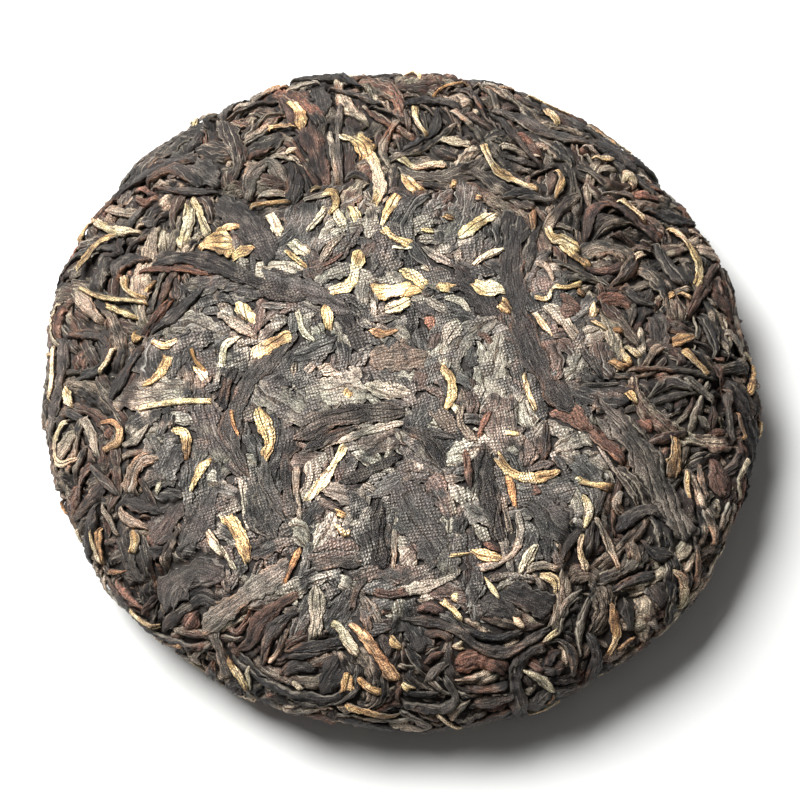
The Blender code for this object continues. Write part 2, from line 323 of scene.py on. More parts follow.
@dataclass(frozen=True)
class Kind:
    """How a kind of strand is laid, here and in the sections below."""

    level: float  # how deep under the bag it may lie
    roll: float  # how far it leans across,
    pitch: float  # and along
    thickness: float
    roundness: float  # the power of its section, which is flatter when it is higher
    ends: tuple  # the least and the most of its width that an end keeps
    taper: float  # how long it narrows there,
    tuck: float  # and how long it sinks there
    ragged: float  # how uneven its edges are,
    waist: float  # and its width
    swell: float  # widens what the photograph shows of it
    curl: float  # bends its end
    layers: float  # how many rolled layers a width of 4 mm shows,
    twist: float  # how many pass in 10 mm of length,
    lap_depth: float  # and how far each stands over the next
    crumple: float  # the height of its small waves
    proud: float = 0.0  # how far it may stand above the bag
    pressed: float = 1.0  # the share of the cloth's print that it took


STEM = Kind(
    level=0.2 * MM, roll=0.1, pitch=0.02, thickness=0.6 * MM, roundness=4.0,
    ends=(0.6, 1.0), taper=1.2 * MM, tuck=0.8 * MM,
    ragged=0.08, waist=0.15, swell=1.1, curl=0.2,
    layers=2.0, twist=0.1, lap_depth=0.09 * MM, crumple=0.03 * MM,
)
SEEN_STEMS = (
    (6, (80, 288), (95, 296), (116, 300), (147, 302)),
    (7, (138, 409), (165, 403), (190, 400), (212, 400)),
    (5, (250, 206), (270, 203), (291, 200)),
    (6, (523, 372), (528, 390), (537, 411)),
    (5, (433, 93), (446, 85), (468, 84)),
    (5, (190, 345), (195, 360), (206, 371)),
    (5, (98, 373), (107, 362), (114, 346)),
    (6, (503, 431), (521, 433)),
    (4, (447, 556), (471, 553)),
    (5, (308, 188), (322, 184)),
    (6, (618, 198), (631, 208), (647, 221)),
    (7, (45, 402), (50, 380), (53, 345)),
)


def curve_through(points):
    """A smooth curve through a few points: Catmull-Rom pieces, mirrored past the ends."""
    points = np.asarray(points, float)
    padded = np.vstack([2 * points[0] - points[1], points, 2 * points[-1] - points[-2]])
    t = np.linspace(0.0, 1.0, 24, endpoint=False)[:, None]
    pieces = []
    for a, b, c, d in zip(padded, padded[1:], padded[2:], padded[3:]):
        cubic = (3 * b - a - 3 * c + d) * t**3 + (2 * a - 5 * b + 4 * c - d) * t**2
        pieces.append(b + 0.5 * (cubic + (c - a) * t))
    return np.vstack(pieces + [points[-1:]])


def even_path(chart, curve):
    """The same curve with places every STATION of true length."""
    steps = chart.true_step(np.diff(curve, axis=0), (curve[1:] + curve[:-1]) / 2, True)
    run = np.concatenate([[0.0], np.cumsum(np.linalg.norm(steps, axis=1))])
    wanted = np.linspace(0.0, run[-1], max(int(round(run[-1] / STATION)), 5) + 1)
    return np.stack([np.interp(wanted, run, curve[:, 0]), np.interp(wanted, run, curve[:, 1])], axis=1)


def waves(x, lengths):
    """A sum of sines of the given wave lengths at random phases, about 1 high."""
    phase = rng.uniform(0.0, 2 * math.pi, len(lengths))
    each = np.sin(np.multiply.outer(x, 2 * math.pi / np.array(lengths)) + phase)
    return each.sum(axis=-1) / len(lengths) ** 0.5


def strand_plan(run, width, kind):
    """The plan of a strand, as (across, half, side, cut).

    across goes from -1 at one edge to 1 at the other, by a sine and a straight line, so that its
    columns crowd at the edges. half is half the width, which grows from each end by a smooth ramp
    and wavers along it. side is how far each place lies beside the path: half times across, times
    ragged sines along each edge. cut moves the places near each end along it, so that it ends
    askew.
    """
    even = np.linspace(-1.0, 1.0, int(np.clip(round(width / COLUMN), *COLUMN_COUNTS)))
    across = (0.6 * np.sin(even * math.pi / 2) + 0.4 * even)[None]
    ends = rng.uniform(*kind.ends, 2)
    ramp = np.minimum(kind.taper * rng.uniform(0.4, 1.5, 2), run[-1] / 2)
    grow = smooth(run / ramp[0]) * smooth((run[-1] - run) / ramp[1])
    least = ends[0] + (ends[1] - ends[0]) * run / run[-1]
    waist = 1.0 - kind.waist * (0.5 + 0.5 * waves(run, WAIST_WAVES))
    half = (0.5 * width * waist * (least + (1.0 - least) * grow**0.7))[:, None]
    ragged = [1.0 + kind.ragged * waves(run, EDGE_WAVES)[:, None] for _ in (0, 1)]
    side = half * across * np.where(across < 0, *ragged)
    cut = np.zeros_like(side)
    for from_end, sign in ((run, 1.0), (run[-1] - run, -1.0)):
        askew = rng.uniform(-0.7, 0.7) * across
        askew = askew + 0.35 * rng.normal() * np.cos(3.0 * across + rng.uniform(0.0, 6.0))
        cut += sign * half * smooth(1.0 - from_end[:, None] / (1.2 * width)) * askew
    return across, half, side, cut


def spots_beside(chart, path, side, cut):
    """(u, v) of places that lie a true distance beside a path's places and along from them."""
    ahead = np.gradient(path, axis=0) / STATION
    flat = chart.true_step(ahead, path, True)
    flat /= np.linalg.norm(flat, axis=1, keepdims=True)
    sideways = chart.true_step(np.stack([-flat[:, 1], flat[:, 0]], axis=1), path, False)
    spots = path[:, None] + sideways[:, None] * side[..., None] + ahead[:, None] * cut[..., None]
    return spots[..., 0], spots[..., 1]


def resting_depth(under, run, side, slack, kind):
    """How deep a strand lies: its own tilted level, or under the strands above where that is deeper.

    Beside such a strand it comes up again by no more than a slope, both along and across.
    """
    own = kind.level * (0.1 + 0.9 * slack) * rng.random() ** 1.2
    own = own + (0.08 + 0.92 * slack) * kind.roll * rng.normal() * side
    own = own + (0.08 + 0.92 * slack) * kind.pitch * rng.normal() * (run - run[-1] / 2)
    depth = np.maximum(np.maximum(own, -kind.proud), under)
    for distance, axis, slope in ((run, 0, 1.2 - 0.6 * slack), (side, 1, 1.8 - 0.8 * slack)):
        rise = slope * distance
        depth = np.maximum.accumulate(depth + rise, axis=axis) - rise
        depth = np.flip(np.maximum.accumulate(np.flip(depth - rise, axis), axis=axis), axis) + rise
    return depth


def rolled_layers(run, side, across, width, slack, kind):
    """The rolled layers of a strand, as (phase, laps, crumple).

    The phase counts the layers across it, and drifts along it by its twist and by sines. A lap
    falls by a power of the phase's fraction, and steps up again to the next. The crumple is made
    of the heights of sines that slant one way and the other.
    """
    layers = max(kind.layers * width / (4.0 * MM) * rng.uniform(0.6, 1.3), 0.7)
    drift = kind.twist * rng.normal() * run / (10.0 * MM)
    drift = drift + 0.16 * waves(run + rng.uniform(-3.0, 3.0) * side, FOLD_WAVES)
    drift = drift + 0.03 * waves(run + rng.uniform(-2.0, 2.0) * side, FINE_FOLD_WAVES)
    phase = rng.choice((-1.0, 1.0)) * (layers * (across + 1.0) / 2 + drift + rng.random())
    lap_depth = kind.lap_depth * (0.35 + 0.75 * slack) * rng.uniform(0.5, 1.4)
    slant = run + rng.uniform(-1.2, 1.2) * side
    counter = run + rng.uniform(-2.5, 2.5) * side
    crumple = np.abs(waves(slant, CRUMPLE_WAVES))
    crumple = crumple + np.abs(waves(counter, COUNTER_WAVES))
    crumple = kind.crumple * (0.3 + 0.9 * slack) * (crumple + 0.4 * waves(slant, FINE_WAVES))
    return phase, lap_depth * (phase % 1.0) ** LAP_POWER, crumple


def lay(chart, path, width, kind):
    """Lays one strand against the bag, or under what is laid there already.

    It is a grid of places along its path and across its width. Its ends sink, so that strands laid
    later may cross over them. Its section is a superellipse, and its ends are rounded off. Its
    rolled layers and its crumples go on top. What is pressed flush is thinner and flatter than
    what lies loose.
    """
    run = np.arange(len(path)) * STATION
    across, half, side, cut = strand_plan(run, width, kind)
    u, v = spots_beside(chart, path, side, cut)
    run = run[:, None]
    left = run[-1] - run
    cells = chart.cells(u, v)
    loose = chart.loose[cells]
    slack = float(loose.mean())
    depth = resting_depth(chart.under[cells], run, side, slack, kind)
    thickness = kind.thickness * (0.42 + 0.58 * slack) * rng.uniform(0.75, 1.25)
    tuck = np.maximum(kind.tuck * rng.uniform(0.0, 1.0, 2), 0.5 * STATION)
    sunk = np.maximum(smooth(1.0 - run / tuck[0]), smooth(1.0 - left / tuck[1])) + 0.0 * side
    stamped = sunk < 0.3
    under = depth + thickness * (1.0 - 0.5 * np.abs(across) ** 3)
    chart.stamp(u[stamped], v[stamped], under[stamped])
    depth = depth + sunk * (0.8 * thickness + 0.1 * MM)
    roundness = kind.roundness * (1.0 - 0.35 * slack)
    drop = np.minimum(half * 0.8, 0.75 * thickness)
    edge = drop * (1.0 - np.clip(1.0 - np.abs(across) ** roundness, 0.0, 1.0) ** (1.0 / roundness))
    round_off = 1.2 * thickness
    tip = 0.8 * thickness * (smooth(1.0 - run / round_off) + smooth(1.0 - left / round_off))
    phase, laps, crumple = rolled_layers(run, side, across, width, slack, kind)
    surface = depth + edge + tip + laps + crumple
    keep = np.unique(np.append(np.arange(0, len(path), chart.stations_per_ring), len(path) - 1))
    return {
        "chart": chart,
        "u": u[keep],
        "v": v[keep],
        "surface": surface[keep],
        "under": depth[keep].max(axis=1) + thickness + 0.1 * MM,
        "run": (run + cut)[keep] / MM,
        "side": side[keep] / MM,
        "fold": phase[keep],
        "rim": ((1.0 - np.abs(across)) * half / MM)[keep],
        "press": kind.pressed * (1.0 - loose)[keep],
        "tone": rng.random(),
        # how worn its edges and crests are; on its crests this also sets a painted highlight
        "wear_and_sheen": rng.random(),
        "frost": rng.random(),
        "seed": rng.uniform(0.0, 400.0),
    }


def lay_seen(rows, kind):
    """Lays the strands that show in the photograph: rows of a width and a path's places, in pixels."""
    strands = []
    for width_pixels, *pixels in rows:
        along, turn = seen_places(pixels)
        path = even_path(face_map, curve_through(np.stack(face_map.spot(along, turn), axis=1)))
        width = kind.swell * width_pixels * CAMERA_DISTANCE / FOCAL_PIXELS
        strands.append(lay(face_map, path, width, kind))
    return strands


def wander(chart, middle, headings, length, bend, curl):
    """Paths through a place of the map, one for each heading.

    The heading turns evenly along the path, and faster past its middle where the end curls. The
    steps are summed from the middle and stretched by the map's own scale where they lie.
    """
    half = max(int(length / STATION / 2), 3)
    share = np.arange(-half, half + 1) / (2.0 * half)
    turn = headings[:, None] + bend * share[None] + curl * np.clip(share[None], 0.0, None) ** 2 * 4.0
    plain = np.stack([np.cos(turn), np.sin(turn)], axis=-1) * STATION
    step = plain
    for _ in range(3):
        run = np.cumsum(step, axis=1)
        path = np.asarray(middle) + run - run[:, half : half + 1]
        step = chart.true_step(plain, path, False)
    return path


def scatter(chart, where, lengths, widths, kind, most=4000, until=0.0, lean=ANY_WAY, needed=0.4):
    """Lays strands over free cells of a region: so many, or until their share is small enough.

    Each tries a few headings and takes the one that covers most free cells. Where too much of it
    would be hidden, a shorter and narrower one is tried elsewhere. A small lean keeps it near the
    rim's direction.
    """
    strands = []
    misses = 0
    while misses < MOST_MISSES and len(strands) < most:
        free = np.flatnonzero(where & ~chart.covered)
        if len(free) <= until * where.sum():
            break
        cell = np.unravel_index(rng.choice(free), where.shape)
        middle = (chart.cell_u[cell], chart.cell_v[cell])
        shrink = 1.0 / (1.0 + misses / HALVING_MISSES)
        length = max(shrink * rng.triangular(lengths[0], lengths[0], lengths[1]), LEAST_LENGTH)
        width = max(shrink**0.5 * rng.uniform(*widths), LEAST_WIDTH)
        headings = math.atan2(middle[1], middle[0]) + math.pi / 2 + rng.normal(0.0, lean, HEADINGS)
        bend = rng.normal(0.0, BEND_SPREAD) * min(length / BEND_LENGTH, MOST_BEND)
        paths = wander(chart, middle, headings, length, bend, kind.curl * rng.normal())
        share = 1.0 - chart.covered[chart.cells(paths[..., 0], paths[..., 1])].mean(axis=1)
        best = share.argmax()
        if share[best] < needed:
            misses += 1
            continue
        misses = max(misses - 2, 0)
        strands.append(lay(chart, paths[best], width, kind))
    return strands


def add_piece(name, points, faces, material, slot):
    """Makes a mesh that rides on the cake's body in place of the plain solid."""
    mesh = bpy.data.meshes.new(name)
    mesh.from_pydata(points, [], faces)
    mesh.shade_smooth()
    mesh.materials.append(material)
    piece = bpy.data.objects.new(name, mesh)
    bpy.context.scene.collection.objects.link(piece)
    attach(piece, "root")
    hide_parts("tea_cake")
    return mesh


def ring_quads(rings, columns, start=0):
    """Quads that join each closed ring of points to the next.

    They go along, left, back and right, which turns them outwards.
    """
    ring = start + np.arange(rings - 1)[:, None] * columns
    column = np.arange(columns)[None]
    after = (column + 1) % columns
    quads = [ring + column, ring + columns + column, ring + columns + after, ring + after]
    return np.stack(quads, axis=-1).reshape(-1, 4).tolist()


def join_strands(name, strands, material, slot):
    """Makes one piece of many strands.

    Each strand is a tube of rings, its surface's columns and one place below its middle, and caps
    close its ends. leaf_mm holds the millimetres across and along the strand. leaf_fold holds the
    phase of its layers and the millimetres to its edge, which place the painted shade of its creases
    and rim. leaf holds its tone, its wear, which also sets the painted highlight on its crests, its
    frost, and how hard the press bore on the place.
    """
    places = []
    faces = []
    maps = []
    folds = []
    looks = []
    start = 0
    for strand in strands:
        u, v = (
            np.hstack([grid, grid.mean(axis=1, keepdims=True)]) for grid in (strand["u"], strand["v"])
        )
        rings, columns = u.shape
        floor = np.maximum(strand["surface"].max(axis=1), strand["under"])[:, None]
        depth = np.hstack([strand["surface"], floor])
        along, turn = strand["chart"].polar(u, v)
        places.append(bag_point(along, turn, depth + unevenness(along, turn)).reshape(-1, 3))
        faces += ring_quads(rings, columns, start)
        faces.append(list(range(start, start + columns)))
        faces.append(list(range(start + rings * columns - 1, start + (rings - 1) * columns - 1, -1)))
        side = np.hstack([strand["side"], strand["side"][:, -1:] * 1.4])
        run = np.hstack([strand["run"], strand["run"][:, -1:]]) + strand["seed"]
        maps.append(np.stack([side, run], axis=-1).reshape(-1, 2))
        fold = np.hstack([strand["fold"], strand["fold"][:, -1:]])
        rim = np.hstack([strand["rim"], np.zeros((rings, 1))])
        folds.append(np.stack([fold, rim], axis=-1).reshape(-1, 2))
        press = np.hstack([strand["press"], np.zeros((rings, 1))])
        own = np.broadcast_to([strand["tone"], strand["wear_and_sheen"], strand["frost"]], (rings, columns, 3))
        looks.append(np.dstack([own, press]).reshape(-1, 4))
        start += rings * columns
    mesh = add_piece(name, np.vstack(places), faces, material, slot)
    corner = np.empty(len(mesh.loops), int)
    mesh.loops.foreach_get("vertex_index", corner)
    for layer_name, values in (("leaf_mm", maps), ("leaf_fold", folds)):
        layer = mesh.uv_layers.new(name=layer_name)
        layer.data.foreach_set("uv", np.vstack(values)[corner].astype(np.float32).ravel())
    look = mesh.color_attributes.new("leaf", "FLOAT_COLOR", "POINT")
    look.data.foreach_set("color", np.vstack(looks).astype(np.float32).ravel())


def node(tree, kind, inputs, **settings):
    """Adds a node with its settings, fills its inputs with values or links, and gives its outputs."""
    made = tree.nodes.new("ShaderNode" + kind)
    for name, value in settings.items():
        setattr(made, name, value)
    for socket, value in inputs.items():
        if isinstance(value, bpy.types.NodeSocket):
            tree.links.new(value, made.inputs[socket])
        else:
            made.inputs[socket].default_value = value
    return made.outputs


def linear(hex_colour):
    """Turns an sRGB hex colour to linear, with full alpha."""
    channels = [int(hex_colour[place : place + 2], 16) / 255 for place in (1, 3, 5)]
    return [((c + 0.055) / 1.055) ** 2.4 if c > 0.04045 else c / 12.92 for c in channels] + [1.0]


def weighed(tree, start, *factors):
    """A start value times the weights that patterns give.

    A factor is a pattern, two of its values, and the weights there. Between the two the weight runs
    straight, and past them it stays.
    """
    for pattern, *span in factors:
        weight = node(tree, "MapRange", dict(enumerate([pattern] + span)))[0]
        start = node(tree, "Math", {0: start, 1: weight}, operation="MULTIPLY")[0]
    return start


THREAD = 0.5 * MM  # cotton muslin of 50 threads to the inch
CLOTH_TURN = math.radians(15.0)  # the bag's threads ran askew to the photograph
CLOTH_WAVE = 12.0 * MM  # the length and the depth of the bends in its threads
CLOTH_BEND = 3.0 * MM
RELIEF = 0.21 * MM  # the height of the fine relief


def leaf_material(name, shades, edge, frost, frost_share, mottle=0.06, roughness=0.55, weave=1.0):
    """Dry leaf, rolled while it was damp. Its shades are hex colours, of which each leaf's own tone
    picks one or a mix of two, give or take its mottle. On some leaves the edge colour shows along
    the edges, which oxidised less.

    The colour is lit and darkened by a product of patterns: painted shade in the creases where
    one rolled layer slips under the next and along the rim, painted shade in wrinkle lines that
    wander along the leaf, stains, dried juices, whose broad pattern also paints patches of light and
    shade, veins, and specks, which also paint tiny glints. The painted crease shade is warmer in
    hue. A pale frost lies on the worn crest of each layer, where it is also a painted highlight,
    and on worn edges, on some veins and in patches. Where the press held the leaf flush against
    the bag it is greyer and paler, partly from its dried juices and partly as a painted sheen of
    the flat pressed face, and the weave's gaps are printed as rows of raised pale dots: the product
    of two raised cosines, one for the warp and one for the weft.
    """
    material = bpy.data.materials.new(name)
    material.use_nodes = True
    tree = material.node_tree
    surface = tree.nodes["Principled BSDF"]
    look = node(tree, "Attribute", {}, attribute_name="leaf")
    tone, wear_and_sheen, frosty = node(tree, "SeparateColor", {0: look["Color"]})
    press = look["Alpha"]
    place = node(tree, "TexCoord", {})["Object"]
    leaf_mm = node(tree, "UVMap", {}, uv_map="leaf_mm")["UV"]
    fold = node(tree, "UVMap", {}, uv_map="leaf_fold")["UV"]
    fold, rim, _ = node(tree, "SeparateXYZ", {0: fold})
    lap = node(tree, "Math", {0: fold}, operation="FRACT")[0]
    # Painted shade: 1 on the open leaf, falling to 0 at the foot of each rolled layer and along the rim.
    painted_crease_shade = weighed(tree, 1.0, (lap, 0.8, 0.99, 1.0, 0.0), (rim, 0.0, 0.1, 0.0, 1.0))

    noises = []
    for coordinates, stretch, detail in (
        (place, (1 / (3.0 * MM),) * 3, 4.0),  # stains
        (place, (1 / (6.0 * MM),) * 3, 2.0),  # the tint of the juices, and broad patches of painted light and shade
        (place, (1 / (0.15 * MM),) * 3, 1.0),  # specks of grain, also painted glints
        (leaf_mm, (1 / 0.22, 1 / 2.6, 1.0), 1.0),  # veins, in millimetres across and along
        (leaf_mm, (1 / 1.1, 1 / 4.5, 1.0), 3.0),  # wrinkles
    ):
        scaled = node(tree, "VectorMath", {0: coordinates, 1: stretch}, operation="MULTIPLY")[0]
        noises.append(node(tree, "TexNoise", {"Vector": scaled, "Scale": 1.0, "Detail": detail})["Fac"])
    stain, juice_and_painted_light, speck, vein, wrinkle = noises
    # Thin lines along the wrinkles: painted shade in their creases, and grooves in the bump below.
    line = node(tree, "Math", {0: wrinkle, 1: 0.5}, operation="SUBTRACT")[0]
    line = node(tree, "Math", {0: line}, operation="ABSOLUTE")[0]

    bend = node(tree, "TexNoise", {"Vector": place, "Scale": 1 / CLOTH_WAVE, "Detail": 0.0})["Color"]
    bend = node(tree, "VectorMath", {0: bend, 1: (0.5, 0.5, 0.5)}, operation="SUBTRACT")[0]
    bend = node(tree, "VectorMath", {0: bend, "Scale": CLOTH_BEND}, operation="SCALE")[0]
    cloth = node(tree, "VectorMath", {0: place, 1: bend}, operation="ADD")[0]
    turned = {0: cloth, "Rotation": (0, 0, -CLOTH_TURN), "Scale": (2 * math.pi / THREAD,) * 3}
    warp, weft, _ = node(tree, "SeparateXYZ", {0: node(tree, "Mapping", turned)[0]})
    dots = weave
    for thread in (warp, weft):
        wave = node(tree, "Math", {0: thread}, operation="COSINE")[0]
        wave = node(tree, "Math", {0: wave, 1: 0.5, 2: 0.5}, operation="MULTIPLY_ADD")[0]
        dots = node(tree, "Math", {0: dots, 1: wave}, operation="MULTIPLY")[0]
    dots = node(tree, "Math", {0: dots, 1: 0.25 * weave}, operation="SUBTRACT")[0]  # less their mean
    dots = weighed(
        tree, dots, (press, 0.35, 0.9, 0.0, 1.0), (stain, 0.42, 0.58, 0.0, 1.3), (frosty, 0.2, 0.8, 0.4, 1.2)
    )

    drift = node(tree, "MapRange", {0: stain, 1: 0.3, 2: 0.7, 3: -mottle, 4: mottle})[0]
    drifted = node(tree, "Math", {0: tone, 1: drift}, operation="ADD")[0]
    shade = node(tree, "ValToRGB", {0: drifted})["Color"]
    shade.node.color_ramp.interpolation = "EASE"
    stops = shade.node.color_ramp.elements
    for step in range(1, len(shades) - 1):
        stops.new(step / (len(shades) - 1))
    for stop, colour in zip(stops, shades):
        stop.color = linear(colour)

    light = weighed(
        tree,
        1.0,
        # painted shade in the creases and along the rim
        (painted_crease_shade, 0.0, 1.0, 0.15, 1.0),
        # painted shade in the wrinkle lines
        (line, 0.0, 0.04, 0.38, 1.05),
        (stain, 0.3, 0.7, 0.6, 1.4),
        # broad patches of painted light and shade
        (juice_and_painted_light, 0.35, 0.65, 0.8, 1.2),
        (vein, 0.3, 0.7, 0.54, 1.46),
        # grain, whose bright specks are also painted glints
        (speck, 0.3, 0.7, 0.0, 2.2),
        (dots, -0.25, 0.75, 0.47, 2.45),
        # paler where pressed flush: partly its film of dried juices, partly a painted sheen of the flat
        # pressed face
        (press, 0.3, 1.0, 0.97, 1.82),
    )
    unpressed = (press, 0.4, 1.0, 1.0, 0.4)
    amber = weighed(
        tree, 1.0, (juice_and_painted_light, 0.5, 0.6, 0.0, 0.38), (rim, 0.15, 0.7, 1.0, 0.0), (frosty, 0.75, 0.35, 0.0, 1.0),
        unpressed,
    )
    body = node(tree, "Mix", {0: amber, 6: shade, 7: linear(edge)}, data_type="RGBA")[2]
    for share, low, high in (
        (node(tree, "MapRange", {0: juice_and_painted_light, 1: 0.35, 2: 0.65})[0], (0.95, 1.0, 0.98), (1.09, 0.97, 0.97)),
        # the painted crease shade, tinted warm
        (node(tree, "MapRange", {0: painted_crease_shade, 1: 0.1, 2: 0.9})[0], (1.22, 0.96, 0.8), (1.0, 1.0, 1.0)),
        (node(tree, "MapRange", {0: press, 1: 0.2, 2: 0.9})[0], (1.04, 0.99, 0.94), (0.98, 1.0, 1.01)),
    ):
        tint = node(tree, "Mix", {0: share, 4: low, 5: high}, data_type="VECTOR")[1]
        body = node(tree, "VectorMath", {0: body, 1: tint}, operation="MULTIPLY")[0]
    body = node(tree, "VectorMath", {0: body, "Scale": light}, operation="SCALE")[0]

    on_veins = ((vein, 0.6, 0.7, 0.0, 1.0), (speck, 0.4, 0.6, 0.0, 1.0))
    in_patches = ((stain, 0.52, 0.66, 0.0, 1.0), (speck, 0.4, 0.65, 0.0, 1.0), (frosty, 0.2, 1.0, 0.0, 1.0))
    # The pale frost on each layer's worn crest is also a painted highlight.
    on_crests = ((lap, 0.0, 0.15, 1.0, 0.0), (wear_and_sheen, 0.1, 0.9, 0.0, 1.5), (stain, 0.42, 0.54, 0.1, 1.0))
    on_edges = ((rim, 0.06, 0.28, 1.0, 0.0), (wear_and_sheen, 0.3, 1.0, 0.0, 1.5), (stain, 0.58, 0.46, 0.1, 1.0))
    on_dots = ((dots, 0.0, 0.7, 0.0, 0.62),)
    frosted = 0.0
    for factors in (on_veins, in_patches, (*on_crests, unpressed), (*on_edges, unpressed), on_dots):
        layer = weighed(tree, frost_share, *factors)
        frosted = node(tree, "Math", {0: frosted, 1: layer}, operation="ADD", use_clamp=True)[0]
    body = node(tree, "Mix", {0: frosted, 6: body, 7: linear(frost)}, data_type="RGBA")[2]

    crease = node(tree, "MapRange", {0: line, 1: 0.0, 2: 0.1})[0]
    height = 0.0
    for value, share in (
        (stain, 1.2), (wrinkle, 1.3), (crease, 0.5), (vein, 0.8), (speck, 1.0), (dots, 0.8), (painted_crease_shade, 1.2)
    ):
        height = node(tree, "Math", {0: value, 1: share, 2: height}, operation="MULTIPLY_ADD")[0]
    bump = node(tree, "Bump", {"Height": height, "Distance": RELIEF, "Strength": 1.0})["Normal"]
    matt = {0: press, 1: 0.2, 2: 1.0, 3: roughness + 0.08, 4: roughness - 0.1}
    tree.links.new(body, surface.inputs["Base Color"])
    tree.links.new(node(tree, "MapRange", matt)[0], surface.inputs["Roughness"])
    tree.links.new(bump, surface.inputs["Normal"])
    surface.inputs["Specular IOR Level"].default_value = 0.5
    surface.inputs["Sheen Weight"].default_value = 0.05
    surface.inputs["Sheen Roughness"].default_value = 0.5
    return material


# Sun-dried stalk: straw-yellow and dull, with a trace of the weave.
dry_stalk = leaf_material(
    "dried_tea_stalk", ("#96703f", "#c9a873", "#d9c296", "#e2d2ab"),
    edge="#b98a4e", frost="#efe3c6", frost_share=0.5, mottle=0.15, weave=0.4,
)
strands = lay_seen(SEEN_STEMS, STEM)
strands += scatter(face_map, on_side, (6 * MM, 14 * MM), (0.8 * MM, 1.1 * MM), STEM, most=14)
strands += scatter(back_map, on_back, (6 * MM, 14 * MM), (0.8 * MM, 1.1 * MM), STEM, most=18)
join_strands("dry_stems", strands, dry_stalk, "dry_stem")


# Golden buds: unopened downy tips that oxidise to gold or orange instead of black. They are short,
# flat and finely lined, and lie outermost, where they are seen whole.
BUD = Kind(
    level=0.2 * MM, roll=0.25, pitch=0.06, thickness=0.4 * MM, roundness=6.0,
    ends=(0.3, 1.1), taper=1.8 * MM, tuck=0.6 * MM,
    ragged=0.13, waist=0.35, swell=1.4, curl=0.5,
    layers=3.0, twist=0.3, lap_depth=0.14 * MM, crumple=0.08 * MM,
)
SEEN_GOLDEN = (
    (13, (80, 243), (86, 231), (93, 221)),
    (12, (291, 101), (299, 112), (302, 129)),
    (9, (352, 204), (358, 219)),
    (10, (399, 194), (388, 210), (381, 226)),
    (9, (382, 226), (392, 236), (411, 244)),
    (8, (483, 142), (488, 156), (498, 170), (516, 180), (538, 189)),
    (7, (556, 168), (562, 180), (556, 196)),
    (9, (547, 224), (553, 235), (565, 240), (581, 251)),
    (11, (457, 235), (474, 225), (494, 212)),
    (8, (451, 183), (457, 185)),
    (6, (475, 195), (483, 197)),
    (7, (77, 272), (88, 254), (101, 240), (117, 235)),
    (16, (373, 291), (390, 290), (409, 288)),
    (12, (327, 304), (328, 329)),
    (13, (241, 300), (247, 319)),
    (12, (254, 357), (268, 345), (292, 334)),
    (9, (143, 385), (155, 377), (165, 365), (167, 353)),
    (12, (400, 270), (414, 275), (427, 286)),
    (12, (500, 300), (509, 312)),
    (7, (213, 458), (203, 466), (195, 480), (190, 491)),
    (9, (131, 529), (134, 540), (130, 554)),
    (12, (226, 514), (240, 536), (248, 562)),
    (9, (335, 511), (347, 516)),
    (9, (497, 455), (510, 471), (527, 477), (545, 475), (561, 470)),
    (9, (470, 550), (485, 555), (502, 557)),
    (13, (677, 435), (677, 456), (672, 476)),
    (8, (612, 603), (615, 625), (617, 637), (609, 657)),
    (9, (357, 677), (370, 688), (383, 692)),
    (11, (672, 341), (696, 336)),
    (5, (592, 319), (608, 329)),
    (9, (345, 396), (351, 389)),
    (6, (143, 293), (156, 279)),
    (7, (123, 274), (127, 290), (144, 299)),
    (5, (267, 127), (296, 125)),
    (7, (415, 104), (417, 120), (428, 133)),
    (8, (578, 480), (595, 485), (612, 488)),
    (23, (199, 247), (215, 243), (234, 243)),
    (6, (214, 232), (228, 226), (241, 226)),
    (10, (231, 257), (243, 250), (255, 245)),
    (8, (592, 317), (597, 303)),
)
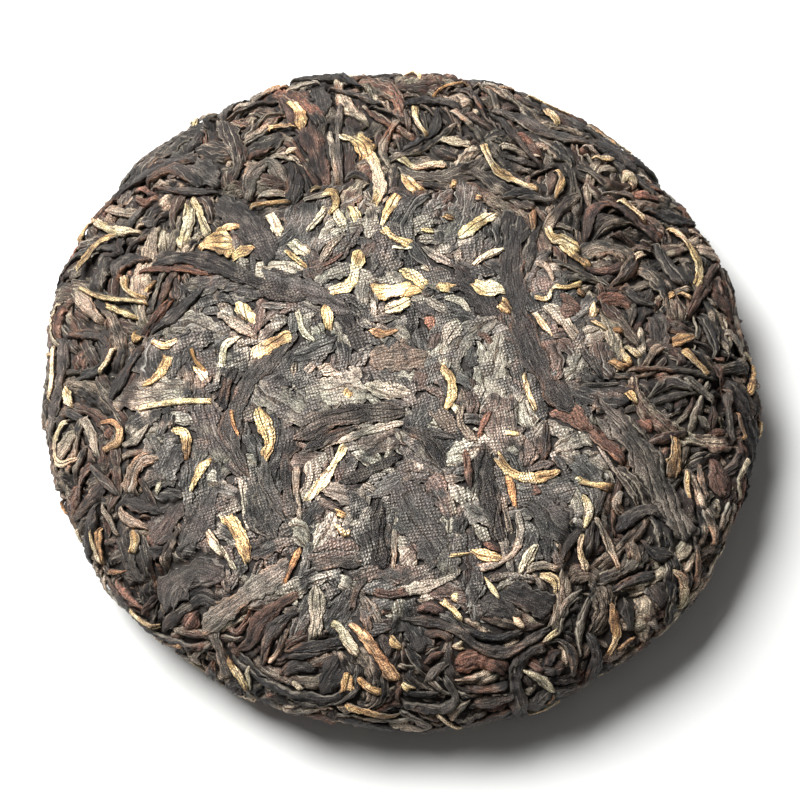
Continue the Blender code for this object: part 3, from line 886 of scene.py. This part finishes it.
SEEN_CREAM = (
    (8, (90, 221), (108, 228), (122, 231), (141, 231)),
    (12, (268, 212), (275, 223), (279, 234)),
    (9, (545, 107), (553, 115), (558, 125)),
    (8, (400, 157), (415, 167), (430, 165), (447, 163)),
    (8, (440, 137), (455, 142), (471, 145)),
    (12, (404, 174), (411, 185), (419, 191)),
    (12, (622, 180), (629, 175), (635, 187)),
    (7, (592, 157), (603, 160), (615, 160)),
    (9, (670, 225), (681, 232), (693, 248), (700, 268), (697, 284)),
    (7, (221, 368), (225, 346), (239, 334)),
    (8, (297, 309), (303, 330), (314, 341)),
    (12, (195, 364), (206, 379)),
    (6, (60, 304), (52, 320), (50, 335), (58, 346)),
    (12, (61, 388), (70, 406)),
    (9, (133, 341), (139, 333)),
    (10, (150, 340), (165, 345), (177, 338)),
    (8, (105, 305), (120, 312), (139, 318)),
    (12, (404, 291), (423, 288)),
    (10, (436, 284), (453, 288)),
    (9, (440, 364), (450, 377), (452, 395), (446, 408)),
    (7, (448, 398), (458, 411)),
    (7, (61, 421), (53, 438), (54, 455), (61, 464), (76, 458)),
    (9, (171, 430), (184, 433), (187, 446), (186, 460)),
    (6, (161, 481), (155, 494)),
    (4, (90, 529), (93, 548), (98, 566)),
    (12, (257, 406), (265, 425), (270, 441), (263, 457)),
    (9, (346, 444), (336, 460), (326, 476), (306, 501)),
    (7, (206, 529), (215, 545), (224, 556)),
    (6, (220, 546), (236, 571)),
    (9, (341, 525), (347, 535)),
    (7, (583, 533), (580, 550), (588, 571)),
    (8, (519, 574), (528, 558), (536, 543)),
    (6, (690, 468), (688, 485), (691, 499)),
    (10, (672, 570), (682, 581), (683, 596), (679, 607)),
    (9, (680, 606), (690, 597), (703, 584)),
    (9, (329, 622), (340, 628), (350, 645), (358, 656)),
    (12, (347, 692), (348, 674)),
    (6, (291, 681), (304, 689)),
    (7, (345, 705), (365, 711), (385, 718), (402, 718)),
    (7, (389, 639), (401, 649)),
    (6, (402, 685), (412, 691)),
    (8, (454, 645), (464, 645)),
    (8, (441, 599), (455, 612), (461, 621)),
    (8, (451, 597), (459, 597)),
    (7, (543, 643), (550, 637), (559, 630)),
    (8, (514, 617), (523, 628)),
    (5, (484, 576), (492, 588), (499, 599)),
    (9, (540, 575), (555, 580), (558, 593)),
    (7, (436, 717), (450, 725), (460, 729)),
    (8, (683, 349), (695, 362), (709, 376)),
    (7, (757, 364), (753, 380), (749, 393)),
    (6, (748, 458), (738, 480), (740, 501)),
    (7, (621, 349), (631, 363)),
    (6, (625, 344), (641, 356)),
    (7, (628, 389), (638, 403)),
    (6, (679, 292), (691, 299)),
    (8, (635, 257), (646, 252)),
    (9, (562, 239), (570, 250), (589, 266)),
    (6, (534, 311), (545, 325), (553, 336)),
    (7, (553, 285), (566, 287), (582, 283)),
    (5, (534, 297), (548, 298), (552, 287)),
    (12, (190, 204), (188, 225), (183, 246)),
    (8, (192, 198), (200, 214), (208, 236)),
    (6, (284, 153), (297, 148)),
    (7, (583, 494), (589, 510), (584, 527)),
    (6, (575, 476), (591, 486)),
    (9, (668, 296), (675, 293)),
    (20, (349, 134), (361, 142), (369, 155)),
    (11, (366, 150), (376, 168), (380, 185), (374, 204)),
    (8, (322, 190), (333, 192), (336, 203), (328, 214)),
    (7, (326, 206), (318, 218), (307, 231)),
    (9, (335, 200), (338, 214), (345, 226)),
    (11, (289, 240), (299, 247), (309, 253)),
    (5, (284, 248), (294, 256), (308, 267)),
    (11, (329, 291), (350, 283), (356, 265), (362, 250)),
    (7, (421, 264), (430, 271)),
    (12, (384, 308), (396, 306), (410, 298)),
    (5, (391, 246), (402, 247), (414, 247)),
    (5, (443, 215), (455, 219)),
    (5, (419, 229), (435, 231)),
    (14, (473, 280), (486, 287), (503, 286)),
    (7, (474, 263), (485, 256), (505, 247)),
)
SEEN_ORANGE = (
    (9, (370, 328), (383, 332), (399, 328)),
    (7, (98, 422), (112, 421), (120, 431), (116, 443), (102, 451)),
    (10, (98, 528), (97, 548), (101, 567)),
    (6, (301, 547), (292, 565), (284, 583)),
    (11, (350, 622), (368, 641), (384, 664), (396, 682)),
    (8, (613, 328), (624, 330)),
    (8, (609, 359), (627, 366)),
    (6, (506, 468), (511, 485), (515, 506)),
    (5, (231, 408), (233, 422), (239, 436)),
    (7, (533, 208), (533, 227)),
    (6, (577, 288), (585, 295)),
)

# Downy bud, oxidised and dried: matt yellow, paler where the down is thick, and browner at its ends.
golden_down = leaf_material(
    "golden_tea_bud",
    ("#75583f", "#9a7651", "#bf9a69", "#d6b882", "#dac79b", "#d4c6a8", "#c6baa0", "#aba089"),
    edge="#b3753a", frost="#e6dac2", frost_share=0.4, mottle=0.3, weave=0.9,
)
strands = lay_seen(SEEN_GOLDEN, BUD)
for strand in strands:
    strand["tone"] = 0.28 + 0.3 * strand["tone"]  # the yellow part of the shades
creamy = lay_seen(SEEN_CREAM, BUD)
for strand in creamy:
    strand["tone"] = 0.35 + 0.65 * strand["tone"]  # yellow to cream and grey
strands += creamy
strands += scatter(face_map, on_side, (3 * MM, 9 * MM), (0.9 * MM, 2.0 * MM), BUD, most=60, lean=0.9)
strands += scatter(back_map, on_back, (3 * MM, 10 * MM), (1.0 * MM, 2.2 * MM), BUD, most=90)
join_strands("golden_buds", strands, golden_down, "golden_bud")

# Bud that oxidised halfway: orange brown, with less down and so a clearer surface.
orange_leaf = leaf_material(
    "half_oxidised_tea_bud", ("#75523a", "#a0744c", "#bd9366", "#8a6648", "#c6a27a"),
    edge="#a5652f", frost="#e8cfa4", frost_share=0.4, mottle=0.3, weave=0.6,
)
strands = lay_seen(SEEN_ORANGE, BUD)
strands += scatter(face_map, on_side, (3 * MM, 7 * MM), (0.9 * MM, 1.6 * MM), BUD, most=12, lean=0.9)
strands += scatter(back_map, on_back, (3 * MM, 8 * MM), (0.9 * MM, 1.8 * MM), BUD, most=16)
join_strands("orange_buds", strands, orange_leaf, "golden_bud")


# Long dark leaves: whole leaves of black tea, rolled into strands 2 to 4 mm wide and oxidised to
# charcoal brown. They lie across the crown, or where the bag turned them round the rim.
DARK_LEAF = Kind(
    level=0.4 * MM, roll=0.3, pitch=0.04, thickness=0.8 * MM, roundness=4.5,
    ends=(0.15, 0.65), taper=4.5 * MM, tuck=2.0 * MM,
    ragged=0.09, waist=0.4, swell=1.32, curl=0.6,
    layers=2.2, twist=0.8, lap_depth=0.42 * MM, crumple=0.08 * MM, pressed=0.78,
)
RAISED_LEAF = replace(DARK_LEAF, proud=0.8 * MM, level=-1.0 * MM)  # it lifts clear of the rim
SEEN_DARK = (
    (15, (112, 278), (118, 264), (132, 257), (152, 258)),
    (17, (150, 259), (190, 258), (225, 267), (265, 285), (305, 300)),
    (11, (205, 282), (175, 312), (146, 334)),
    (12, (143, 340), (125, 370), (106, 402)),
    (10, (64, 336), (95, 334), (106, 350), (98, 368), (74, 377)),
    (12, (143, 180), (165, 170), (182, 171), (203, 188)),
    (8, (150, 186), (175, 190), (222, 193)),
    (10, (124, 228), (135, 214), (143, 203)),
    (12, (203, 128), (195, 140), (187, 153)),
    (8, (341, 100), (338, 138), (342, 182)),
    (7, (340, 180), (357, 173), (372, 182)),
    (16, (290, 158), (295, 180), (291, 202)),
    (10, (327, 88), (355, 94), (386, 104)),
    (9, (402, 102), (430, 95), (463, 104)),
    (9, (438, 103), (436, 124), (420, 139), (398, 151)),
    (8, (405, 103), (409, 128)),
    (16, (490, 106), (520, 118), (550, 132), (590, 141)),
    (7, (487, 105), (505, 125), (525, 146), (546, 166)),
    (10, (500, 154), (520, 158), (545, 160)),
    (10, (500, 193), (525, 192), (552, 203)),
    (14, (578, 134), (610, 148), (642, 172)),
    (12, (600, 152), (632, 172), (660, 196)),
    (14, (640, 205), (670, 214), (703, 222)),
    (8, (600, 193), (624, 192), (641, 200)),
    (24, (518, 212), (513, 245), (512, 275), (519, 312), (532, 350), (552, 386), (577, 412)),
    (15, (536, 222), (530, 250), (528, 272)),
    (16, (655, 238), (670, 264), (690, 287)),
    (12, (640, 250), (626, 272), (610, 284)),
    (9, (625, 283), (640, 299), (661, 305)),
    (14, (700, 310), (712, 332), (718, 357)),
    (14, (720, 264), (736, 300), (746, 332), (749, 352)),
    (12, (580, 344), (594, 363), (606, 379)),
    (6, (580, 384), (602, 383), (622, 382)),
    (10, (648, 396), (670, 382), (697, 392)),
    (9, (728, 385), (733, 425), (738, 446)),
    (12, (222, 410), (226, 385), (236, 362)),
    (18, (298, 333), (276, 352), (252, 376), (238, 402), (230, 428), (236, 452), (250, 478)),
    (22, (292, 438), (325, 420), (360, 412), (408, 412)),
    (12, (303, 450), (330, 436), (360, 424)),
    (12, (285, 450), (287, 488), (292, 520)),
    (14, (264, 450), (266, 482), (285, 512), (292, 528)),
    (34, (258, 476), (266, 508), (274, 541)),
    (14, (310, 566), (335, 563), (362, 560)),
    (14, (380, 495), (378, 530), (386, 570)),
    (12, (338, 484), (370, 470), (402, 455)),
    (18, (485, 440), (485, 475), (493, 510), (500, 542)),
    (14, (403, 427), (428, 441), (444, 468)),
    (9, (402, 425), (430, 431), (460, 438)),
    (10, (546, 420), (546, 442), (543, 462)),
    (26, (600, 408), (640, 450), (668, 500), (690, 540)),
    (12, (617, 532), (635, 513), (656, 509), (676, 526)),
    (12, (640, 535), (655, 552), (678, 556)),
    (9, (562, 562), (568, 545), (586, 524)),
    (10, (400, 618), (432, 622), (457, 630), (478, 646), (505, 653), (532, 640), (556, 624)),
    (8, (455, 618), (476, 634), (500, 638), (526, 630)),
    (12, (303, 610), (280, 622), (267, 642), (262, 668)),
    (16, (283, 656), (315, 648), (352, 640)),
    (12, (280, 677), (296, 666), (317, 672)),
    (9, (351, 610), (356, 590), (366, 574)),
    (10, (443, 675), (452, 690), (456, 701), (444, 712), (420, 711), (400, 706)),
    (9, (400, 693), (420, 697), (442, 695)),
    (9, (425, 686), (437, 670), (452, 660)),
    (9, (460, 690), (488, 690), (512, 686)),
    (12, (470, 706), (495, 701), (516, 695)),
    (8, (545, 646), (560, 641), (573, 655), (571, 682)),
    (10, (612, 592), (630, 581), (656, 574)),
    (12, (626, 598), (630, 632)),
    (9, (85, 462), (103, 480), (120, 498)),
)
SEEN_RAISED = (
    (6, (314, 74), (324, 70), (340, 73), (353, 82), (366, 88)),
)

# Fully oxidised leaf, rolled and dried: charcoal brown with a slight gloss on its folds.
dark_leaf = leaf_material(
    "oxidised_rolled_leaf", ("#181311", "#28221f", "#352f2c", "#1d1715", "#45403c", "#2d2520", "#5b544d"),
    edge="#7c5a3e", frost="#c6baa7", frost_share=0.36, roughness=0.42,
)
strands = lay_seen(SEEN_RAISED, RAISED_LEAF)
strands += lay_seen(SEEN_DARK, DARK_LEAF)
strands += scatter(
    face_map, on_side, (14 * MM, 30 * MM), (1.8 * MM, 3.8 * MM), DARK_LEAF, until=0.5, lean=0.5
)
strands += scatter(back_map, on_back, (12 * MM, 26 * MM), (2.2 * MM, 4.2 * MM), DARK_LEAF, until=0.55)
join_strands("long_leaves", strands, dark_leaf, "black_tea")


# Flat leaves: torn pieces of big leaves that lie open instead of rolled. Fully oxidised, they are
# dark and nearly smooth, and the press laid them flat between the long ones.
FLAT_LEAF = Kind(
    level=0.5 * MM, roll=0.22, pitch=0.08, thickness=0.38 * MM, roundness=8.0,
    ends=(0.2, 0.9), taper=3.0 * MM, tuck=1.4 * MM,
    ragged=0.16, waist=0.25, swell=1.25, curl=0.4,
    layers=1.2, twist=0.6, lap_depth=0.2 * MM, crumple=0.14 * MM,
)
SEEN_FLAT = (
    (30, (160, 158), (192, 168), (218, 186)),
    (14, (140, 222), (156, 222)),
    (28, (216, 196), (245, 222), (275, 257)),
    (20, (318, 88), (324, 112)),
    (24, (452, 275), (475, 290), (492, 318)),
    (20, (262, 275), (305, 288), (350, 312)),
    (18, (335, 300), (350, 325), (365, 350)),
    (20, (655, 312), (662, 345)),
    (20, (320, 700), (330, 682), (341, 664)),
    (22, (650, 582), (661, 604)),
    (14, (145, 555), (162, 551)),
    (14, (120, 500), (142, 506), (160, 512)),
    (9, (62, 410), (82, 419)),
    (10, (755, 424), (751, 468), (743, 510)),
    (32, (167, 612), (172, 588), (195, 573), (221, 581)),
    (20, (187, 604), (203, 596), (219, 603)),
    (26, (150, 541), (163, 523), (176, 502)),
    (26, (209, 484), (201, 514), (186, 549)),
    (24, (505, 588), (528, 598), (552, 610)),
    (24, (480, 598), (500, 610), (510, 622)),
    (36, (402, 482), (420, 520), (440, 556)),
    (18, (102, 249), (120, 248)),
    (36, (535, 500), (552, 515), (575, 530)),
)

# Fully oxidised leaf that dried open: even dark grey and matt.
open_leaf = leaf_material(
    "oxidised_open_leaf", ("#241f1c", "#34302d", "#45413d", "#3c302b"),
    edge="#5f4531", frost="#aaa194", frost_share=0.35,
)
join_strands("flat_leaves", lay_seen(SEEN_FLAT, FLAT_LEAF), open_leaf, "black_tea")


# Red-brown leaves: leaves that oxidised less, and lie curled or folded over with two or three deep
# creases.
BROWN_LEAF = replace(DARK_LEAF, layers=2.0, lap_depth=0.5 * MM, curl=0.8, crumple=0.12 * MM)
SEEN_BROWN = (
    (20, (303, 112), (314, 145), (328, 184)),
    (10, (281, 96), (291, 114), (303, 135)),
    (9, (445, 92), (466, 89), (488, 112), (502, 130)),
    (12, (465, 108), (481, 118), (498, 127)),
    (14, (514, 130), (528, 139), (543, 153)),
    (11, (632, 188), (645, 195), (664, 200)),
    (12, (586, 242), (590, 215), (601, 203), (622, 207), (646, 226), (666, 242)),
    (9, (135, 271), (160, 267), (190, 268), (222, 271), (250, 284)),
    (10, (141, 337), (155, 318), (171, 295)),
    (6, (320, 265), (335, 258), (346, 250)),
    (8, (470, 330), (485, 335), (494, 346)),
    (10, (428, 312), (432, 331)),
    (20, (556, 300), (582, 311)),
    (16, (545, 402), (562, 396), (577, 406)),
    (22, (552, 405), (570, 412), (588, 430)),
    (14, (582, 420), (605, 440), (626, 466)),
    (9, (580, 264), (604, 270), (632, 262)),
    (12, (717, 262), (705, 286), (688, 316)),
    (16, (600, 296), (622, 298), (636, 306)),
    (14, (708, 298), (722, 306)),
    (9, (712, 360), (727, 384), (733, 400)),
    (8, (492, 407), (484, 421), (478, 436)),
    (10, (465, 445), (468, 466), (471, 491)),
    (12, (528, 486), (542, 490)),
    (8, (482, 542), (502, 550)),
    (20, (148, 546), (160, 531), (172, 524)),
    (12, (103, 428), (112, 438)),
    (10, (65, 488), (76, 493)),
    (14, (184, 634), (192, 620), (200, 608)),
    (8, (140, 618), (147, 605), (151, 594)),
    (10, (110, 580), (130, 605), (146, 621)),
    (8, (165, 646), (185, 651), (206, 646)),
    (17, (303, 591), (282, 602), (262, 621), (250, 641), (234, 653)),
    (10, (227, 641), (239, 660), (259, 648)),
    (8, (251, 606), (246, 621), (236, 633), (227, 626)),
    (16, (418, 612), (430, 606), (444, 613)),
    (14, (424, 636), (440, 632), (455, 642)),
    (18, (452, 667), (475, 659), (497, 664), (510, 677)),
    (7, (423, 667), (435, 656), (451, 652)),
    (12, (370, 589), (388, 594), (412, 590)),
    (10, (383, 616), (391, 607)),
    (9, (547, 670), (553, 656), (566, 650)),
    (10, (510, 650), (531, 661), (546, 677)),
    (8, (548, 690), (562, 705)),
    (10, (648, 441), (668, 436), (692, 430)),
    (14, (640, 414), (651, 431)),
    (18, (715, 455), (722, 476), (725, 500)),
    (8, (710, 432), (729, 431)),
    (8, (143, 190), (159, 190)),
    (6, (130, 196), (145, 200), (160, 197)),
    (8, (200, 124), (204, 141)),
    (8, (118, 187), (135, 183), (152, 190)),
    (6, (242, 182), (247, 196)),
    (8, (245, 155), (260, 150), (276, 143)),
    (6, (712, 356), (727, 361)),
)

# Leaf that oxidised less before it dried: chestnut to dull red, with tan edges.
brown_leaf = leaf_material(
    "reddish_oxidised_leaf", ("#2e2420", "#4f382d", "#6d4e3f", "#3f302a", "#7c5747", "#5a4238"),
    edge="#946641", frost="#bfa996", frost_share=0.4, mottle=0.12,
)
strands = lay_seen(SEEN_BROWN, BROWN_LEAF)
strands += scatter(
    face_map, on_side, (6 * MM, 18 * MM), (1.6 * MM, 3.2 * MM), BROWN_LEAF, most=45, lean=0.6
)
strands += scatter(back_map, on_back, (6 * MM, 18 * MM), (1.8 * MM, 3.6 * MM), BROWN_LEAF, most=70)
join_strands("red_brown_leaves", strands, brown_leaf, "red_brown_leaf")


# Grey leaves: older leaves whose dried juices and down left them grey or beige, lined along their
# length like weathered wood.
GREY_LEAF = replace(BUD, thickness=0.5 * MM, taper=2.8 * MM, tuck=1.0 * MM, lap_depth=0.22 * MM)
SEEN_GREY = (
    (10, (128, 176), (145, 162), (161, 154)),
    (10, (107, 208), (124, 211), (139, 205)),
    (8, (328, 130), (335, 155), (338, 180)),
    (14, (246, 197), (254, 172), (270, 162), (282, 176)),
    (8, (243, 141), (262, 130), (272, 121)),
    (6, (283, 92), (302, 87), (322, 85)),
    (8, (220, 108), (238, 103), (252, 100)),
    (6, (302, 198), (320, 194), (337, 188)),
    (8, (450, 106), (461, 114), (473, 123)),
    (8, (478, 82), (500, 90), (530, 97), (546, 108)),
    (10, (500, 145), (520, 148), (541, 150)),
    (8, (582, 143), (595, 150), (608, 158)),
    (6, (620, 153), (636, 166), (656, 181)),
    (8, (600, 171), (616, 168)),
    (8, (88, 258), (98, 244)),
    (12, (75, 290), (89, 309), (101, 321)),
    (13, (255, 273), (280, 265), (302, 270)),
    (8, (320, 262), (331, 245), (346, 231)),
    (8, (258, 195), (272, 192), (288, 189)),
    (8, (456, 249), (460, 261)),
    (10, (424, 245), (436, 255), (452, 263)),
    (9, (425, 296), (437, 305), (449, 309)),
    (7, (443, 296), (460, 300), (471, 312)),
    (16, (443, 345), (452, 330), (463, 322)),
    (12, (545, 303), (560, 315), (577, 337)),
    (7, (538, 260), (548, 268), (554, 281)),
    (12, (218, 312), (240, 325), (256, 336)),
    (7, (304, 373), (316, 362)),
    (14, (320, 370), (338, 370)),
    (6, (292, 376), (295, 360)),
    (14, (368, 384), (390, 390), (412, 392)),
    (9, (685, 375), (697, 386), (716, 402)),
    (10, (645, 366), (654, 351), (664, 345)),
    (7, (700, 312), (711, 326)),
    (14, (128, 493), (131, 475), (141, 461), (159, 457)),
    (9, (122, 446), (135, 440), (149, 424)),
    (10, (80, 414), (90, 434), (95, 456)),
    (6, (100, 505), (109, 520), (115, 536)),
    (8, (118, 505), (125, 518), (149, 528)),
    (8, (243, 478), (245, 508), (251, 531)),
    (8, (296, 464), (296, 500), (300, 520)),
    (15, (312, 458), (311, 480), (303, 500)),
    (16, (288, 530), (298, 531), (309, 541)),
    (6, (401, 495), (395, 530), (393, 570)),
    (8, (320, 446), (350, 436), (386, 425), (406, 422)),
    (9, (463, 404), (460, 420), (469, 434), (481, 441)),
    (7, (517, 510), (521, 530), (515, 551), (500, 562), (478, 568)),
    (6, (503, 494), (507, 514), (511, 532)),
    (5, (450, 494), (456, 516)),
    (5, (595, 440), (611, 466), (630, 490), (641, 506)),
    (7, (595, 514), (608, 540), (621, 571)),
    (10, (622, 490), (616, 505), (628, 512)),
    (13, (630, 540), (636, 561)),
    (6, (702, 460), (703, 480), (709, 500)),
    (9, (705, 506), (712, 526), (715, 546)),
    (8, (700, 414), (711, 431)),
    (19, (290, 565), (256, 588), (230, 607), (200, 630)),
    (14, (316, 584), (317, 611), (314, 641)),
    (10, (400, 591), (430, 585), (458, 574)),
    (8, (320, 715), (352, 720), (412, 726)),
    (8, (205, 671), (221, 681)),
    (6, (400, 714), (431, 728)),
    (9, (651, 618), (656, 629)),
    (8, (562, 617), (569, 602), (583, 593)),
    (8, (523, 571), (541, 565), (562, 569)),
    (14, (385, 452), (393, 444)),
    (9, (365, 484), (376, 492)),
    (7, (640, 586), (651, 579)),
)

# Old leaf dried with its down on: beige grey and chalky, with the frost over most of it.
grey_leaf = leaf_material(
    "bleached_old_leaf", ("#6a6259", "#857b6e", "#9c9181", "#77695a", "#aea28f"),
    edge="#a87f52", frost="#d3cab9", frost_share=0.6,
)
strands = lay_seen(SEEN_GREY, GREY_LEAF)
strands += scatter(face_map, on_side, (5 * MM, 14 * MM), (1.2 * MM, 2.6 * MM), GREY_LEAF, most=80, lean=0.7)
strands += scatter(back_map, on_back, (5 * MM, 14 * MM), (1.4 * MM, 2.8 * MM), GREY_LEAF, most=110)
join_strands("grey_leaves", strands, grey_leaf, "grey_leaf")


# Packed leaves: everything else that fills the cake between the leaves above, rolled strands,
# folded leaves and flat scraps. They are laid big ones first until each share of a region is full,
# with a piece each for the pressed middle of the crown, its loose ring, the side and the back.

# Leaf of every grade, rolled and dried: mostly dark and brown, with a few grey and beige ones.
mixed_leaf = leaf_material(
    "mixed_packed_leaf",
    ("#1b1512", "#33261e", "#585047", "#231b17", "#b9ad98", "#523a2f", "#2a221e", "#3b312b", "#8f8373",
     "#4b352b", "#1d1714", "#6b4c3d", "#2e231e", "#47403a", "#201915", "#7c7062", "#402d25"),
    edge="#8a6343", frost="#d3c5ae", frost_share=0.52,
)
# The same leaf, pressed flat in steam: its juices dried on it, which makes it greyer and paler.
pressed_leaf = leaf_material(
    "mixed_pressed_leaf",
    ("#221e1b", "#3a3633", "#56524d", "#2c2825", "#574a41", "#8f8778", "#35312e", "#a89f8e", "#45413d",
     "#5e4c42", "#302c29", "#6d675f", "#7d7467", "#3b3532", "#66574a"),
    edge="#8f7152", frost="#d3cdc0", frost_share=0.6,
)
SCRAP = replace(FLAT_LEAF, layers=1.8, lap_depth=0.25 * MM, ragged=0.19)
CURLED = replace(SCRAP, thickness=0.6 * MM, roundness=4.5, roll=0.35, lap_depth=0.45 * MM, waist=0.45)
FOLDED_LEAF = replace(DARK_LEAF, layers=3.4, lap_depth=0.5 * MM, crumple=0.14 * MM, ragged=0.13)

# Each packing lists its layers: kind, lengths, widths, the share left free, the share that a strand
# has to cover anew, and how far it may stray from the rim's direction.
FLUSH_LAYERS = (
    (DARK_LEAF, (8 * MM, 20 * MM), (1.2 * MM, 3.0 * MM), 0.5, 0.5, ANY_WAY),
    (SCRAP, (5 * MM, 15 * MM), (3.0 * MM, 6.5 * MM), 0.2, 0.45, ANY_WAY),
    (SCRAP, (3 * MM, 9 * MM), (1.6 * MM, 4.0 * MM), 0.004, 0.3, ANY_WAY),
)
LOOSE_LAYERS = (
    (FOLDED_LEAF, (12 * MM, 34 * MM), (2.4 * MM, 5.0 * MM), 0.3, 0.36, ANY_WAY),
    (DARK_LEAF, (8 * MM, 24 * MM), (1.2 * MM, 2.8 * MM), 0.12, 0.33, ANY_WAY),
    (CURLED, (7 * MM, 16 * MM), (1.8 * MM, 4.0 * MM), 0.06, 0.3, ANY_WAY),
    (CURLED, (3 * MM, 9 * MM), (1.4 * MM, 3.4 * MM), 0.006, 0.3, ANY_WAY),
)
SIDE_LAYERS = (
    (FOLDED_LEAF, (8 * MM, 24 * MM), (1.6 * MM, 4.4 * MM), 0.35, 0.4, 0.6),
    (CURLED, (4 * MM, 12 * MM), (1.8 * MM, 4.5 * MM), 0.012, 0.35, 0.8),
)
BACK_LAYERS = (
    (SCRAP, (5 * MM, 18 * MM), (1.6 * MM, 4.6 * MM), 0.015, 0.4, ANY_WAY),
)
for name, chart, where, layers, material in (
    ("packed_leaves_flush", face_map, pressed_flush, FLUSH_LAYERS, pressed_leaf),
    ("packed_leaves_loose", face_map, left_loose, LOOSE_LAYERS, mixed_leaf),
    ("packed_leaves_side", face_map, on_side, SIDE_LAYERS, mixed_leaf),
    ("packed_leaves_back", back_map, on_back, BACK_LAYERS, mixed_leaf),
):
    strands = []
    for kind, lengths, widths, until, needed, lean in layers:
        strands += scatter(chart, where, lengths, widths, kind, until=until, lean=lean, needed=needed)
    join_strands(name, strands, material, "black_tea")


# The heart of the cake: packed leaf too deep to tell apart. It is seen only as darkness between
# the strands, so it is one closed body, which carries them from below.
CORE_TURNS = 300
CORE_RINGS = 110
CORE_BLUR = 3  # cells that its surface is smoothed over, each way


def core_surface():
    """A closed copy of the bag, lowered to the underside of the leaves, with a point at each pole.

    Their underside is the mean over neighbouring cells of the map, and small waves are added.
    """
    along = np.linspace(0.0, BAG_LENGTH, CORE_RINGS + 2)[1:-1, None] + np.zeros((1, CORE_TURNS))
    turn = (np.arange(CORE_TURNS) * 2 * math.pi / CORE_TURNS)[None] + np.zeros((CORE_RINGS, 1))
    depths = []
    for chart in (face_map, back_map):
        row, column = chart.cells(*chart.spot(along, turn))
        last = chart.side - 1
        near = range(-CORE_BLUR, CORE_BLUR + 1)
        around = [
            chart.under[np.clip(row + i, 0, last), np.clip(column + j, 0, last)] for i in near for j in near
        ]
        depths.append(np.mean(around, axis=0))
    x, y, z = np.moveaxis(bag_point(along, turn, 0.0) / MM, -1, 0)
    wave = np.sin(2.1 * x + np.sin(1.3 * y)) * np.sin(1.7 * y + z)
    depth = np.where(along < BAG_LENGTH - BACK_EDGE, *depths) + 0.1 * MM * (2.5 + wave)
    depth = depth + unevenness(along, turn)
    body = bag_point(along, turn, depth)
    pole_depth = np.array([depth[0].mean(), depth[-1].mean()])
    poles = bag_point(np.array([0.0, BAG_LENGTH]), np.zeros(2), pole_depth)
    points = np.vstack([body.reshape(-1, 3), poles])
    top = CORE_RINGS * CORE_TURNS
    last_ring = top - CORE_TURNS
    top_fan = [(top, here, (here + 1) % CORE_TURNS) for here in range(CORE_TURNS)]
    knot_fan = [(top + 1, last_ring + after, last_ring + here) for _, here, after in top_fan]
    return points, ring_quads(CORE_RINGS, CORE_TURNS) + top_fan + knot_fan


# Packed tea and broken leaf, matt, made nearly black as painted shade, so that the gaps read as deep shadow.
heart_shade_material = bpy.data.materials.new("packed_tea_painted_shade")
heart_shade_material.use_nodes = True
tree = heart_shade_material.node_tree
place = node(tree, "TexCoord", {})["Object"]
heart_mottle = node(tree, "TexNoise", {"Vector": place, "Scale": 1.0 / (0.6 * MM), "Detail": 3.0})["Fac"]
shade = node(tree, "Mix", {0: heart_mottle, 6: linear("#14110f"), 7: linear("#3a322c")}, data_type="RGBA")[2]
bump = node(tree, "Bump", {"Height": heart_mottle, "Distance": 0.3 * MM})["Normal"]
tree.links.new(shade, tree.nodes["Principled BSDF"].inputs["Base Color"])
tree.links.new(bump, tree.nodes["Principled BSDF"].inputs["Normal"])
tree.nodes["Principled BSDF"].inputs["Roughness"].default_value = 0.8
add_piece("packed_heart", *core_surface(), heart_shade_material, "black_tea")


# The floor: a plain pale sheet of card that the cake lies on, under a soft light from above, the
# left and a little behind, with a weak fill from all round.
FLOOR_HALF = 1.5
FILL_STRENGTH = 0.105
SOFTBOX_PLACE = (-0.21, 0.16, 0.38)
SOFTBOX_SIDE = 0.30
SOFTBOX_WATTS = 4.85
floor_mesh = bpy.data.meshes.new("floor")
corners = [(x * FLOOR_HALF, y * FLOOR_HALF, 0.0) for x, y in ((-1, -1), (1, -1), (1, 1), (-1, 1))]
floor_mesh.from_pydata(corners, [], [(0, 1, 2, 3)])
floor = bpy.data.objects.new("floor", floor_mesh)
bpy.context.scene.collection.objects.link(floor)

# Uncoated white card: even and matt, so that only the cake's own shadow shows on it.
card = bpy.data.materials.new("matt_white_card")
card.use_nodes = True
card.node_tree.nodes["Principled BSDF"].inputs["Base Color"].default_value = linear("#f2f2f0")
card.node_tree.nodes["Principled BSDF"].inputs["Roughness"].default_value = 0.9
floor_mesh.materials.append(card)

world = bpy.data.worlds.new("studio_fill")
world.use_nodes = True
world.node_tree.nodes["Background"].inputs["Color"].default_value = (1.0, 1.0, 1.0, 1.0)
world.node_tree.nodes["Background"].inputs["Strength"].default_value = FILL_STRENGTH
bpy.context.scene.world = world

softbox_data = bpy.data.lights.new("softbox", "AREA")
softbox_data.size = SOFTBOX_SIDE
softbox_data.energy = SOFTBOX_WATTS
softbox = bpy.data.objects.new("softbox", softbox_data)
softbox.location = SOFTBOX_PLACE
x, y, z = np.array(SOFTBOX_PLACE) - CAKE_MIDDLE
softbox.rotation_euler = (math.atan2(math.hypot(x, y), z), 0.0, math.atan2(y, x) + math.pi / 2)
bpy.context.scene.collection.objects.link(softbox)
bpy.context.scene.view_settings.view_transform = "Standard"


bpy.context.view_layer.update()
